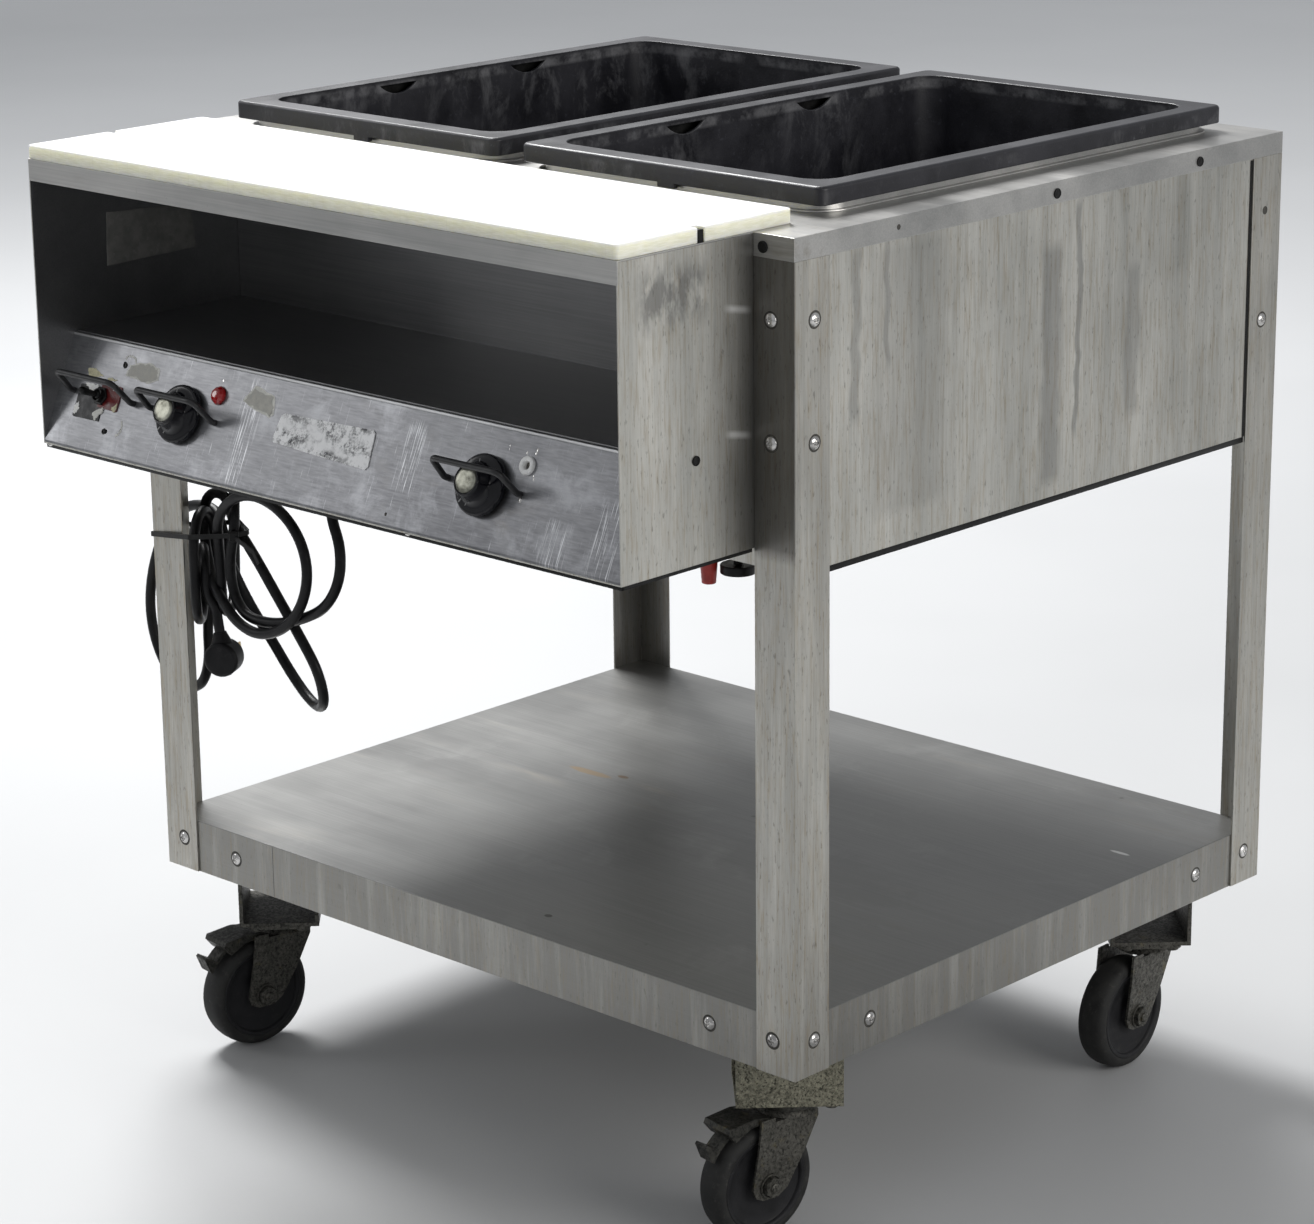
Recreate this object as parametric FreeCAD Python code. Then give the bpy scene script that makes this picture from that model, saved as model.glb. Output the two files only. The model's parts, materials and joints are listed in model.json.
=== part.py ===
"""Two-well electric steam table on casters, with a front work shelf and control box.

Millimetres, +Z up, the origin on the floor under the middle of the unit, the front
facing -Y.  Each sub-part is written to parts/NODE.step.
"""
import FreeCAD, Part
import math
import os
from FreeCAD import Vector as V

os.makedirs("parts", exist_ok=True)

# ---- driving dimensions -------------------------------------------------------------
WIDTH = 813.0            # over the legs
DEPTH = 827.0            # front of the control box to the back of the legs
BODY_DEPTH = 671.0       # over the legs, front to back
WORK_Z = 897.0           # worktop height
LEG_FOOT_Z = 180.0       # underside of the legs and of the lower shelf's flanges
SHELF_Z = 232.0          # top of the lower shelf
BODY_Z = 620.0           # underside of the enclosed body
BOX_Z = 637.0            # underside of the control box
SHEET = 1.5              # panel gauge
LEG_W = 43.5             # leg angle, flange width
LEG_T = 2.0              # leg angle, gauge
FLANGE = 19.5            # down-turned edge of the worktop and of the work shelf
GAP = 0.3                # between pieces that move past each other

BOARD_T = 12.5           # cutting board
BOARD_DEPTH = 203.0
TRAY_Z = 734.0           # underside of the storage tray's floor
PANEL_LOW_Z = 641.0      # lower edge of the sloping control panel
PANEL_SETBACK = 41.5     # how far the panel's upper edge lies behind the lower one

RIM_X = 346.5            # well rim, outside
RIM_Y = 555.7
RIM_Z = 920.5            # top of the rim
RIM_H = 16.0
WELL_X = 305.0           # opening for a full-size pan
WELL_Y = 508.0
WELL_DEPTH = 190.0
WELL_WALL = 4.0
WELL_PITCH = 376.5

KNOB_X = 190.0           # knob centres, either side of the middle
KNOB_H = 24.0
WHEEL_D = 108.0
WHEEL_T = 32.0
CASTER_H = 127.0         # floor to the underside of the mounting bracket
CASTER_INSET = 76.5      # swivel axis from both outer faces of the corner
TRAIL = 36.0             # swivel axis to wheel axle

CORD_D = 10.0

# ---- derived places -----------------------------------------------------------------
HALF_W = WIDTH / 2
Y_FRONT = -DEPTH / 2                 # front of the control box
Y_BACK = DEPTH / 2
Y_LEG = Y_BACK - BODY_DEPTH          # front face of the front legs
BOX_HALF = HALF_W - LEG_W            # half width of the control box
WELL_Y0 = Y_BACK - 30.5 - RIM_Y / 2  # middle of the wells, front to back
TRAY_BACK_Y = WELL_Y0 - RIM_Y / 2 - 0.5
PANEL_TOP_Z = TRAY_Z - 1.0
SLOPE = math.atan2(PANEL_TOP_Z - PANEL_LOW_Z, PANEL_SETBACK)
PANEL_LEN = math.hypot(PANEL_TOP_Z - PANEL_LOW_Z, PANEL_SETBACK)
PANEL_UP = V(0, math.cos(SLOPE), math.sin(SLOPE))
PANEL_OUT = V(0, -math.sin(SLOPE), math.cos(SLOPE))
X_AXIS = V(1, 0, 0)
Z_AXIS = V(0, 0, 1)


# ---- small helpers ------------------------------------------------------------------
def block(x0, x1, y0, y1, z0, z1):
    """A box between two corners."""
    return Part.makeBox(x1 - x0, y1 - y0, z1 - z0, V(x0, y0, z0))


def rod(start, axis, radius, length):
    """A cylinder from a point, along an axis."""
    return Part.makeCylinder(radius, length, start, axis)


def fuse(shapes):
    """One solid from overlapping or touching shapes."""
    first, rest = shapes[0], shapes[1:]
    return first.fuse(rest).removeSplitter() if rest else first


def extrude_yz(points, x0, x1):
    """A polygon in the YZ plane, extruded from x0 to x1."""
    wire = Part.makePolygon([V(x0, y, z) for y, z in points + points[:1]])
    return Part.Face(wire).extrude(V(x1 - x0, 0, 0))


def rounded_slab(xc, yc, w, d, z0, z1, r):
    """A rectangle with rounded corners in plan, extruded from z0 to z1."""
    body = block(xc - w / 2, xc + w / 2, yc - d / 2, yc + d / 2, z0, z1)
    upright = [e for e in body.Edges if abs(e.Vertexes[0].X - e.Vertexes[-1].X) < 1e-6
               and abs(e.Vertexes[0].Y - e.Vertexes[-1].Y) < 1e-6]
    return body.makeFillet(r, upright)


def on_panel(x, up, out=0.0):
    """A point on the control panel: across, up the slope, and out from its face."""
    base = V(x, Y_FRONT, PANEL_LOW_Z)
    return base + PANEL_UP * up + PANEL_OUT * out


def panel_box(x0, x1, up0, up1, out0, out1):
    """A box whose faces are square to the control panel."""
    shape = block(x0, x1, up0, up1, out0, out1)
    turn = FreeCAD.Matrix(1, 0, 0, 0,
                          0, PANEL_UP.y, PANEL_OUT.y, Y_FRONT,
                          0, PANEL_UP.z, PANEL_OUT.z, PANEL_LOW_Z,
                          0, 0, 0, 1)
    return shape.transformGeometry(turn)


def dome(centre, axis, radius, height):
    """A low screw head: the cap of a sphere on a flat base."""
    ball_r = (radius ** 2 + height ** 2) / (2 * height)
    ball = Part.makeSphere(ball_r, centre - axis * (ball_r - height))
    return ball.common(rod(centre, axis, radius + 1, height + 1))


def tube_along(points, radius, name=""):
    """A round tube on straight runs joined by tangent arcs, each as large as fits."""
    points = [V(*p) for p in points]
    edges, here, radii = [], points[0], []
    for before, corner, after in zip(points, points[1:], points[2:]):
        u, w = before - corner, after - corner
        half = (math.pi - u.getAngle(w)) / 2
        reach = 0.45 * min(u.Length, w.Length)
        u.normalize()
        w.normalize()
        start, end = corner + u * reach, corner + w * reach
        bisector = (u + w).normalize()
        arc_r = reach / math.tan(half)
        middle = corner + bisector * (arc_r / math.cos(half) - arc_r)
        edges += [Part.LineSegment(here, start).toShape(), Part.Arc(start, middle, end).toShape()]
        radii.append(arc_r)
        here = end
    edges.append(Part.LineSegment(here, points[-1]).toShape())
    path = Part.Wire(edges)
    profile = Part.Wire(Part.makeCircle(radius, points[0], points[1] - points[0]))
    tube = path.makePipeShell([profile], True, True)
    length = path.Length
    ratio = tube.Volume / (math.pi * radius ** 2 * length)
    print("%-16s length %.0f  least radius %.0f  volume ratio %.3f  valid %s  radii %s"
          % (name, length, min(radii), ratio, tube.isValid(), [round(r) for r in radii]))
    return tube


def write(name, shapes):
    """Write one node; several solids make a group."""
    shapes = shapes if isinstance(shapes, list) else [shapes]
    solids = [s for shape in shapes for s in shape.Solids]
    for solid in solids:
        if not solid.isValid() or solid.Volume < 1:
            print("CHECK", name, solid.isValid(), solid.Volume)
    result = solids[0] if len(solids) == 1 else Part.makeCompound(solids)
    result.exportStep("parts/%s.step" % name)


# ---- frame and sheet metal ----------------------------------------------------------
SIGNS = {"front_left": (-1, -1), "front_right": (1, -1), "rear_left": (-1, 1), "rear_right": (1, 1)}
LEG_TOP_Z = WORK_Z - FLANGE            # the legs end under the worktop's edge
PANEL_TOP_EDGE_Z = WORK_Z - SHEET      # the panels run up inside it
SCREW_ZS = (211.0, 727.0, 828.0)     # screws that hold the panels and the shelf to a leg
SCREW_INSET = 22.0


def leg(sx, sy):
    """An L angle with its corner outwards."""
    x_out, y_out = sx * HALF_W, (Y_BACK if sy > 0 else Y_LEG)
    across = sorted([x_out, x_out - sx * LEG_W])
    along = sorted([y_out, y_out - sy * LEG_W])
    x_wall = sorted([x_out, x_out - sx * LEG_T])
    y_wall = sorted([y_out, y_out - sy * LEG_T])
    face = block(*across, *y_wall, LEG_FOOT_Z, LEG_TOP_Z)
    side = block(*x_wall, *along, LEG_FOOT_Z, LEG_TOP_Z)
    return fuse([face, side])


def lower_shelf():
    """A flat shelf with its four edges turned down inside the legs."""
    x, y0, y1 = HALF_W - LEG_T, Y_LEG + LEG_T, Y_BACK - LEG_T
    solid = block(-x, x, y0, y1, LEG_FOOT_Z, SHELF_Z)
    hollow = block(-x + SHEET, x - SHEET, y0 + SHEET, y1 - SHEET, LEG_FOOT_Z, SHELF_Z - SHEET)
    return solid.cut(hollow)


def side_panel(sx):
    """A flat panel just inside the legs, with a return along its lower edge."""
    x_out = sx * (HALF_W - LEG_T)
    xs = sorted([x_out, x_out - sx * SHEET])
    fold = sorted([x_out, x_out - sx * 14])
    y0, y1 = Y_LEG + LEG_T, Y_BACK - LEG_T - SHEET
    wall = block(*xs, y0, y1, BODY_Z, PANEL_TOP_EDGE_Z)
    lip = block(*fold, y0 + LEG_W, y1 - LEG_W, BODY_Z, BODY_Z + SHEET)
    return fuse([wall, lip])


def rear_panel():
    x, y1 = HALF_W - LEG_T, Y_BACK - LEG_T
    return block(-x, x, y1 - SHEET, y1, BODY_Z, PANEL_TOP_EDGE_Z)


def bottom_pan():
    """The floor of the body, with a front edge turned up to the control box."""
    x = HALF_W - LEG_T - SHEET
    y0, y1 = Y_LEG + LEG_T, Y_BACK - LEG_T - SHEET
    floor = block(-x, x, y0, y1, BODY_Z + SHEET, BODY_Z + 2 * SHEET)
    front = block(-BOX_HALF, BOX_HALF, y0, y0 + SHEET, BODY_Z + 2 * SHEET, BOX_Z - GAP)
    openings = [rod(V(CORD_EXIT[0], CORD_EXIT[1], BODY_Z), Z_AXIS, 8.0, 6)]
    for x_cap, y_cap, r_cap in (BLACK_CAP[:3], RED_CAP[:3]):
        openings.append(rod(V(x_cap, y_cap, BODY_Z), Z_AXIS, 4.0, 6))
    return fuse([floor, front]).cut(openings)


def worktop():
    """The top sheet with its edges turned down and an opening for each well."""
    z0 = WORK_Z - FLANGE
    solid = block(-HALF_W, HALF_W, Y_LEG, Y_BACK, z0, WORK_Z)
    x, y0, y1 = HALF_W - SHEET, Y_LEG + SHEET, Y_BACK - SHEET
    hollow = block(-x, x, y0, y1, z0, WORK_Z - SHEET)
    shelf_gap = block(-BOX_HALF, BOX_HALF, Y_LEG, Y_LEG + SHEET, z0, WORK_Z)
    wells = [rounded_slab(sx * WELL_PITCH / 2, WELL_Y0, WELL_X + 2 * WELL_WALL + 6,
                          WELL_Y + 2 * WELL_WALL + 6, z0, WORK_Z, 30) for sx in (-1, 1)]
    return solid.cut([hollow, shelf_gap] + wells)


def box_side(sx):
    """A side of the control box, carried back between the legs to the tray's back."""
    xs = sorted([sx * BOX_HALF, sx * (BOX_HALF - SHEET)])
    wall = block(*xs, Y_FRONT, TRAY_BACK_Y, BOX_Z, WORK_Z - SHEET)
    return wall.cut(block(*xs, Y_FRONT, Y_FRONT + SHEET, WORK_Z - FLANGE, WORK_Z))


def work_shelf():
    """The deck under the cutting board, with its front edge turned down."""
    deck = block(-BOX_HALF, BOX_HALF, Y_FRONT, Y_LEG + SHEET, WORK_Z - SHEET, WORK_Z)
    lip = block(-BOX_HALF, BOX_HALF, Y_FRONT, Y_FRONT + SHEET, WORK_Z - FLANGE, WORK_Z)
    hem = block(-BOX_HALF + SHEET, BOX_HALF - SHEET, Y_FRONT, Y_FRONT + 12,
                WORK_Z - FLANGE, WORK_Z - FLANGE + SHEET)
    return fuse([deck, lip, hem])


def storage_tray():
    """The floor and back of the open cubby under the work shelf."""
    x = BOX_HALF - SHEET
    y0 = Y_FRONT + PANEL_SETBACK + 1
    floor = block(-x, x, y0, TRAY_BACK_Y, TRAY_Z, TRAY_Z + SHEET)
    back = block(-x, x, TRAY_BACK_Y - SHEET, TRAY_BACK_Y, TRAY_Z, WORK_Z - SHEET)
    return fuse([floor, back])


def control_panel():
    """The sloping panel, with returns at its upper and lower edges and its holes."""
    x = BOX_HALF - SHEET
    face = panel_box(-x, x, 0, PANEL_LEN, -SHEET, 0)
    foot = block(-x, x, Y_FRONT, Y_FRONT + 14, PANEL_LOW_Z - SHEET, PANEL_LOW_Z)
    nose = block(-x, x, Y_FRONT, Y_FRONT + SHEET, BOX_Z + SHEET, PANEL_LOW_Z)
    y_top = Y_FRONT + PANEL_SETBACK
    head = block(-x, x, y_top - SHEET, y_top + 14, TRAY_Z - 2 * SHEET, TRAY_Z - SHEET / 3)
    holes = [rod(on_panel(hx, up, -6), PANEL_OUT, r, 12) for hx, up, r in PANEL_HOLES]
    return fuse([face, foot, nose, head]).cut(holes)


def box_bottom():
    x = BOX_HALF - SHEET
    return block(-x, x, Y_FRONT, Y_LEG + LEG_T - GAP, BOX_Z, BOX_Z + SHEET)


# ---- wells --------------------------------------------------------------------------
SCOOP_ALONG = 88.0       # lift scoops, from the middle of each long wall
SCOOP_HALF = 24.0
SCOOP_DROP = 9.0
LUG_X = 10.0             # moulded lug under the front of the rim


def well(sx):
    """A moulded resin tub: rim, walls, floor, lift scoops and a lug under the rim."""
    xc = sx * WELL_PITCH / 2
    rim = rounded_slab(xc, WELL_Y0, RIM_X, RIM_Y, RIM_Z - RIM_H, RIM_Z, 9)
    top = [e for e in rim.Edges if e.BoundBox.ZMin > RIM_Z - 0.01]
    rim = rim.makeChamfer(2.0, top)
    under = rounded_slab(xc, WELL_Y0, RIM_X - 10, RIM_Y - 10, RIM_Z - RIM_H, RIM_Z - 5, 8)
    shell = rounded_slab(xc, WELL_Y0, WELL_X + 2 * WELL_WALL, WELL_Y + 2 * WELL_WALL,
                         RIM_Z - WELL_DEPTH - WELL_WALL, RIM_Z - 4, 28)
    inside = rounded_slab(xc, WELL_Y0, WELL_X, WELL_Y, RIM_Z - WELL_DEPTH, RIM_Z + 1, 24)
    low = [e for e in inside.Edges if e.BoundBox.ZMax < RIM_Z - WELL_DEPTH + 0.01]
    inside = inside.makeFillet(10, low)
    lug = block(xc - LUG_X, xc + LUG_X, WELL_Y0 - RIM_Y / 2, WELL_Y0 - RIM_Y / 2 + 5,
                RIM_Z - RIM_H - 4, RIM_Z - RIM_H + 2)
    tub = fuse([rim.cut(under), shell, lug]).cut(inside)
    lip_z = RIM_Z - 5
    arc_r = (SCOOP_HALF ** 2 + SCOOP_DROP ** 2) / (2 * SCOOP_DROP)
    scoops = []
    for along in (-SCOOP_ALONG, SCOOP_ALONG):
        start = V(xc - WELL_X / 2 - WELL_WALL - 1, WELL_Y0 + along, lip_z - SCOOP_DROP + arc_r)
        round_cut = rod(start, X_AXIS, arc_r, WELL_X + 2 * WELL_WALL + 2)
        keep = block(start.x, start.x + WELL_X + 2 * WELL_WALL + 2, start.y - 40, start.y + 40,
                     lip_z - 20, lip_z)
        scoops.append(round_cut.common(keep))
    return tub.cut(scoops)


def collar(sx):
    """The raised stainless surround under a rim, with a flared foot."""
    xc = sx * WELL_PITCH / 2
    z1 = RIM_Z - 5 - GAP
    outer = rounded_slab(xc, WELL_Y0, RIM_X - 14, RIM_Y - 14, WORK_Z, z1, 30)
    inner = rounded_slab(xc, WELL_Y0, RIM_X - 14 - 2 * SHEET, RIM_Y - 14 - 2 * SHEET,
                         WORK_Z - 1, z1 + 1, 28.5)
    foot = rounded_slab(xc, WELL_Y0, RIM_X - 4, RIM_Y - 4, WORK_Z, WORK_Z + 1.6, 34)
    return fuse([outer, foot]).cut(inner)


ELEMENT_Z = RIM_Z - WELL_DEPTH - WELL_WALL - 12


def element_pan(sx):
    """A shallow reflector pan hung under the tub."""
    xc = sx * WELL_PITCH / 2
    z1 = RIM_Z - WELL_DEPTH - WELL_WALL
    outer = rounded_slab(xc, WELL_Y0, 230, 420, z1 - 28, z1, 20)
    inner = rounded_slab(xc, WELL_Y0, 227, 417, z1 - 26.8, z1 + 1, 18.5)
    return outer.cut(inner)


def heating_element(sx):
    """A sheathed element bent into a long hairpin with two cold ends."""
    xc, r = sx * WELL_PITCH / 2, 4.0
    x0, x1 = xc - 60, xc + 60
    y0, y1 = WELL_Y0 - 195, WELL_Y0 + 170
    z = ELEMENT_Z
    points = [(x0, y0, z), (x0, y0 + 60, z), (x0 - 10, y0 + 150, z), (x0, y1 - 30, z),
              (x0 + 35, y1 + 5, z), (x1 - 35, y1 + 5, z), (x1, y1 - 30, z),
              (x1 + 10, y0 + 150, z), (x1, y0 + 60, z), (x1, y0, z)]
    return tube_along(points, r, "element")


# ---- controls -----------------------------------------------------------------------
MID = PANEL_LEN / 2 - 1
SHAFT_R = 3.0
LAMP_UP = 73.5
RED_LAMP_X = -149.5
WHITE_LAMP_X = 231.0
SWITCH_X = -301.0
GUARDS = {"left": -187.5, "right": 190.0, "switch": -298.0}
GUARD_HALF = 42.0
WIRE_R = 2.8
PANEL_HOLES = [(-KNOB_X, MID, SHAFT_R + 2), (KNOB_X, MID, SHAFT_R + 2), (SWITCH_X, MID, 6.1),
               (RED_LAMP_X, LAMP_UP, 5.1), (WHITE_LAMP_X, LAMP_UP, 5.1),
               (SWITCH_X + 18, MID + 33, 2.2), (SWITCH_X + 18, MID - 30, 2.2)]
PANEL_HOLES += [(x + s * GUARD_HALF, MID, WIRE_R) for x in GUARDS.values() for s in (-1, 1)]


def knob(sx):
    """A skirt disc and a tapered grip, bored for its shaft."""
    x = sx * KNOB_X
    foot = on_panel(x, MID, 1.5)
    skirt = Part.makeCone(26.5, 25.0, 6.0, foot, PANEL_OUT)
    hub = Part.makeCone(17.0, 12.5, KNOB_H - 9.0, foot + PANEL_OUT * 6.0, PANEL_OUT)
    bore = rod(foot - PANEL_OUT * 1, PANEL_OUT, SHAFT_R, 15)
    flutes = []
    for i in range(12):
        turn = FreeCAD.Rotation(PANEL_OUT, i * 30)
        side = turn.multVec(X_AXIS) * 26.6
        flutes.append(rod(foot + side + PANEL_OUT * 3.2, PANEL_OUT, 1.2, 4))
    return fuse([skirt, hub]).cut([bore] + flutes)


def knob_cap(sx):
    """The bright insert in a knob's face."""
    foot = on_panel(sx * KNOB_X, MID, KNOB_H - 1.5)
    return Part.makeCone(11.3, 10.6, 1.6, foot, PANEL_OUT)


def control_shaft(sx):
    return rod(on_panel(sx * KNOB_X, MID, -18), PANEL_OUT, SHAFT_R, 18 + 15.4)


def thermostat(sx):
    """An infinite control behind the panel: case, bush with nut, and two tabs."""
    x = sx * KNOB_X
    case = panel_box(x - 22, x + 22, MID - 18, MID + 18, -44, -8)
    bush = rod(on_panel(x, MID, -8), PANEL_OUT, SHAFT_R + 1.9, 9)
    bore = rod(on_panel(x, MID, -18), PANEL_OUT, SHAFT_R + 0.05, 22)
    tabs = [panel_box(x + dx - 3, x + dx + 3, MID - 8, MID - 7.2, -52, -44) for dx in (-12, 0, 12)]
    return fuse([case, bush] + tabs).cut(bore)


def guard(x):
    """A bent wire hoop that stands over a control and leans up the panel."""
    lean, out = 11.0, 29.0
    left, right = x - GUARD_HALF, x + GUARD_HALF
    low, high = on_panel(0, MID, -5), on_panel(0, MID + lean, out)
    step = on_panel(0, MID, 5)
    points = [(left, low.y, low.z), (left, step.y, step.z), (left + 3, high.y, high.z),
              (right - 3, high.y, high.z), (right, step.y, step.z), (right, low.y, low.z)]
    return bent_wire(points, WIRE_R, 7.0)


def bent_wire(points, radius, bend):
    """A stiff wire with the same small radius at every bend."""
    points = [V(*p) for p in points]
    edges, here = [], points[0]
    for before, corner, after in zip(points, points[1:], points[2:]):
        u, w = (before - corner).normalize(), (after - corner).normalize()
        half = (math.pi - u.getAngle(w)) / 2
        reach = bend * math.tan(half)
        start, end = corner + u * reach, corner + w * reach
        middle = corner + (u + w).normalize() * (bend / math.cos(half) - bend)
        edges += [Part.LineSegment(here, start).toShape(), Part.Arc(start, middle, end).toShape()]
        here = end
    edges.append(Part.LineSegment(here, points[-1]).toShape())
    profile = Part.Wire(Part.makeCircle(radius, points[0], points[1] - points[0]))
    return Part.Wire(edges).makePipeShell([profile], True, True)


def pilot_lamp(x, lens_r, lens_h):
    """A faceted lens on a threaded body."""
    body = rod(on_panel(x, LAMP_UP, -22), PANEL_OUT, 5.0, 22.2)
    lens = Part.makeCone(lens_r, lens_r - 1.5, lens_h, on_panel(x, LAMP_UP, 0.2), PANEL_OUT)
    return fuse([body, lens])


def ring_lamp(x):
    """A burnt-out lamp: its bezel is left round a dark bore."""
    body = rod(on_panel(x, LAMP_UP, -22), PANEL_OUT, 5.0, 22.2)
    bezel = rod(on_panel(x, LAMP_UP, 0.2), PANEL_OUT, 8.0, 2.4)
    bore = rod(on_panel(x, LAMP_UP, -8), PANEL_OUT, 3.6, 12)
    return fuse([body, bezel]).cut(bore)


LEVER_PIVOT_OUT = 4.0
LEVER_TILT = -12.0


def power_switch():
    """The switch body behind the panel with its threaded neck through the plate."""
    case = panel_box(SWITCH_X - 13, SWITCH_X + 13, MID - 9, MID + 9, -30, -5)
    neck = rod(on_panel(SWITCH_X, MID, -5), PANEL_OUT, 6.0, 12)
    mouth = Part.makeCone(2.2, 5.2, 11, on_panel(SWITCH_X, MID, -3.9), PANEL_OUT)
    seat = Part.makeSphere(4.4, on_panel(SWITCH_X, MID, LEVER_PIVOT_OUT))
    return fuse([case, neck]).cut([mouth, seat])


def switch_lever():
    """A bat lever that tilts across the panel; drawn at its left stop."""
    pivot = on_panel(SWITCH_X, MID, LEVER_PIVOT_OUT)
    ball = Part.makeSphere(4.0, pivot)
    bat = Part.makeCone(2.0, 3.6, 17, pivot, PANEL_OUT)
    tip = Part.makeSphere(3.6, pivot + PANEL_OUT * 17)
    lever = fuse([ball, bat, tip])
    lever.rotate(pivot, PANEL_UP, LEVER_TILT)
    return lever


def switch_plate():
    """The plate under the switch's nut: two fields, one set higher than the other."""
    left = panel_box(SWITCH_X - 32, SWITCH_X + 5, MID - 22.5, MID + 7.5, 0.05, 1.0)
    right = panel_box(SWITCH_X - 2, SWITCH_X + 25, MID - 11.5, MID + 14.5, 0.05, 1.0)
    hole = rod(on_panel(SWITCH_X, MID, -1), PANEL_OUT, 6.0, 4)
    return fuse([left, right]).cut(hole)


def name_plate():
    """A blank plate with clipped corners."""
    plate = panel_box(-65.5, 47.0, 39, 73, 0.02, 0.8)
    short = [e for e in plate.Edges if e.Length < 1.5]
    return plate.makeFillet(5.0, short)


def rating_label():
    """A blank label on the left wall of the cubby."""
    x = -(BOX_HALF - SHEET) + 0.02
    return block(x, x + 0.4, Y_LEG - 73, Y_LEG + 29, 778, 838)


def terminal_block():
    base = block(-30, 30, -300, -276, BOX_Z + SHEET, BOX_Z + SHEET + 16)
    slots = [block(-25 + 12.5 * i, -17 + 12.5 * i, -301, -288, BOX_Z + 10, BOX_Z + 30)
             for i in range(4)]
    return base.cut(slots)


def wiring():
    """Leads from the terminal block to the controls, lamps and elements."""
    z = BOX_Z + SHEET + 24
    leads = []
    for i, x in enumerate((-KNOB_X, KNOB_X)):
        sx = 1 if x > 0 else -1
        y = -292 + 7 * i
        points = [(sx * 22, y, z - 5), (sx * 60, y + 4, z), (sx * 120, y - 8, z + 2),
                  (x - sx * 30, y + 6, z + 6)]
        leads.append(tube_along(points, 2.2, "lead"))
    for sx in (-1, 1):
        points = [(sx * 12, -262, z - 4), (sx * 30, -225, z), (sx * 80, -190, z + 14),
                  (sx * 122, -152, z + 30), (sx * 128.3, -108, z + 42)]
        leads.append(tube_along(points, 2.2, "lead"))
    return leads


# ---- fasteners ----------------------------------------------------------------------
HEAD_R = 6.0
HEAD_H = 2.8


def leg_screws():
    """Round-head screws through both faces of each leg; one is missing at the back."""
    screws = []
    for name, (sx, sy) in SIGNS.items():
        y_out = Y_BACK if sy > 0 else Y_LEG
        for z in SCREW_ZS:
            if not (name == "rear_right" and z == SCREW_ZS[2]):
                at = V(sx * HALF_W, y_out - sy * (SCREW_INSET + 2.5), z)
                screws.append(dome(at, V(sx, 0, 0), HEAD_R, HEAD_H))
            at = V(sx * (HALF_W - SCREW_INSET - 3), y_out, z)
            screws.append(dome(at, V(0, sy, 0), HEAD_R, HEAD_H))
    return screws


def shelf_screws():
    """Screws that pin the caster channels through the shelf's flanges."""
    screws = []
    for sx, sy in SIGNS.values():
        y_in = (Y_BACK if sy > 0 else Y_LEG) - sy * LEG_T
        x_in = sx * (HALF_W - LEG_T)
        screws.append(dome(V(sx * (HALF_W - 99), y_in, 206), V(0, sy, 0), HEAD_R, HEAD_H))
        screws.append(dome(V(x_in, y_in - sy * 97, 207), V(sx, 0, 0), HEAD_R, HEAD_H))
    return screws


def button(centre, axis, radius, height):
    """A hole plug's head: a low disc with a sloping rim."""
    return Part.makeCone(radius, radius - 0.8, height, centre, axis)


def plug_buttons():
    """Black hole plugs in the worktop's edge and in the box's side."""
    z = WORK_Z - 10.8
    plugs = [button(V(sx * 373.5, Y_LEG, z), V(0, -1, 0), 5.0, 1.4) for sx in (-1, 1)]
    for sx in (-1, 1):
        for y in (Y_LEG + 337, Y_LEG + 543):
            plugs.append(button(V(sx * HALF_W, y, z), V(sx, 0, 0), 4.5, 1.4))
        plugs.append(button(V(sx * BOX_HALF, Y_LEG - 69, 723), V(sx, 0, 0), 4.2, 1.2))
    return plugs


# ---- casters ------------------------------------------------------------------------
BRACKET_W = 77.0         # across the channel, corner to middle
BRACKET_L = 93.0
BRACKET_T = 4.0
PLATE_T = 3.0
FORK_Z = 112.0           # top of the fork's crown
KINGPIN_R = 5.0
AXLE_R = 5.0
RUNNING = 0.05
# how each caster happens to stand: the wheel trails to the front, turned by this much
YAW = {"front_left": -8.0, "front_right": -9.0, "rear_left": 9.0, "rear_right": 2.0}


def swivel(name):
    """The swivel axis of a caster, at floor level."""
    sx, sy = SIGNS[name]
    y_out = Y_BACK if sy > 0 else Y_LEG
    return V(sx * (HALF_W - CASTER_INSET), y_out - sy * CASTER_INSET, 0)


def place(shape, name, angle):
    """Turn a shape made about the Z axis and move it onto a caster's swivel axis."""
    shape = shape.copy()
    shape.rotate(V(0, 0, 0), Z_AXIS, angle)
    shape.translate(swivel(name))
    return shape


def diagonal(name):
    """The direction of a corner's diagonal, in degrees."""
    sx, sy = SIGNS[name]
    return math.degrees(math.atan2(sy, sx))


def caster_bracket(name):
    """A deep channel set across the corner, open at both ends."""
    w, l, z1 = BRACKET_W / 2, BRACKET_L / 2, SHELF_Z - SHEET
    solid = block(-w, w, -l, l, CASTER_H, z1)
    hollow = block(-w + BRACKET_T, w - BRACKET_T, -l, l, CASTER_H + BRACKET_T, z1)
    return place(solid.cut(hollow), name, diagonal(name))


def caster_plate(name):
    """The mounting plate, the fixed ball race and the kingpin."""
    plate = block(-30, 30, -46, 46, CASTER_H - PLATE_T, CASTER_H)
    plate = plate.makeFillet(6, [e for e in plate.Edges if abs(e.Length - PLATE_T) < 0.01])
    race = Part.makeCone(26, 29, 7.0, V(0, 0, CASTER_H - PLATE_T - 7.0), Z_AXIS)
    pin = rod(V(0, 0, FORK_Z - 2.5 - GAP), Z_AXIS, KINGPIN_R, CASTER_H - FORK_Z)
    head = rod(V(0, 0, FORK_Z - 2.5 - GAP - 2.5), Z_AXIS, 8.0, 2.5)
    return place(fuse([plate, race, pin, head]), name, diagonal(name))


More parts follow.
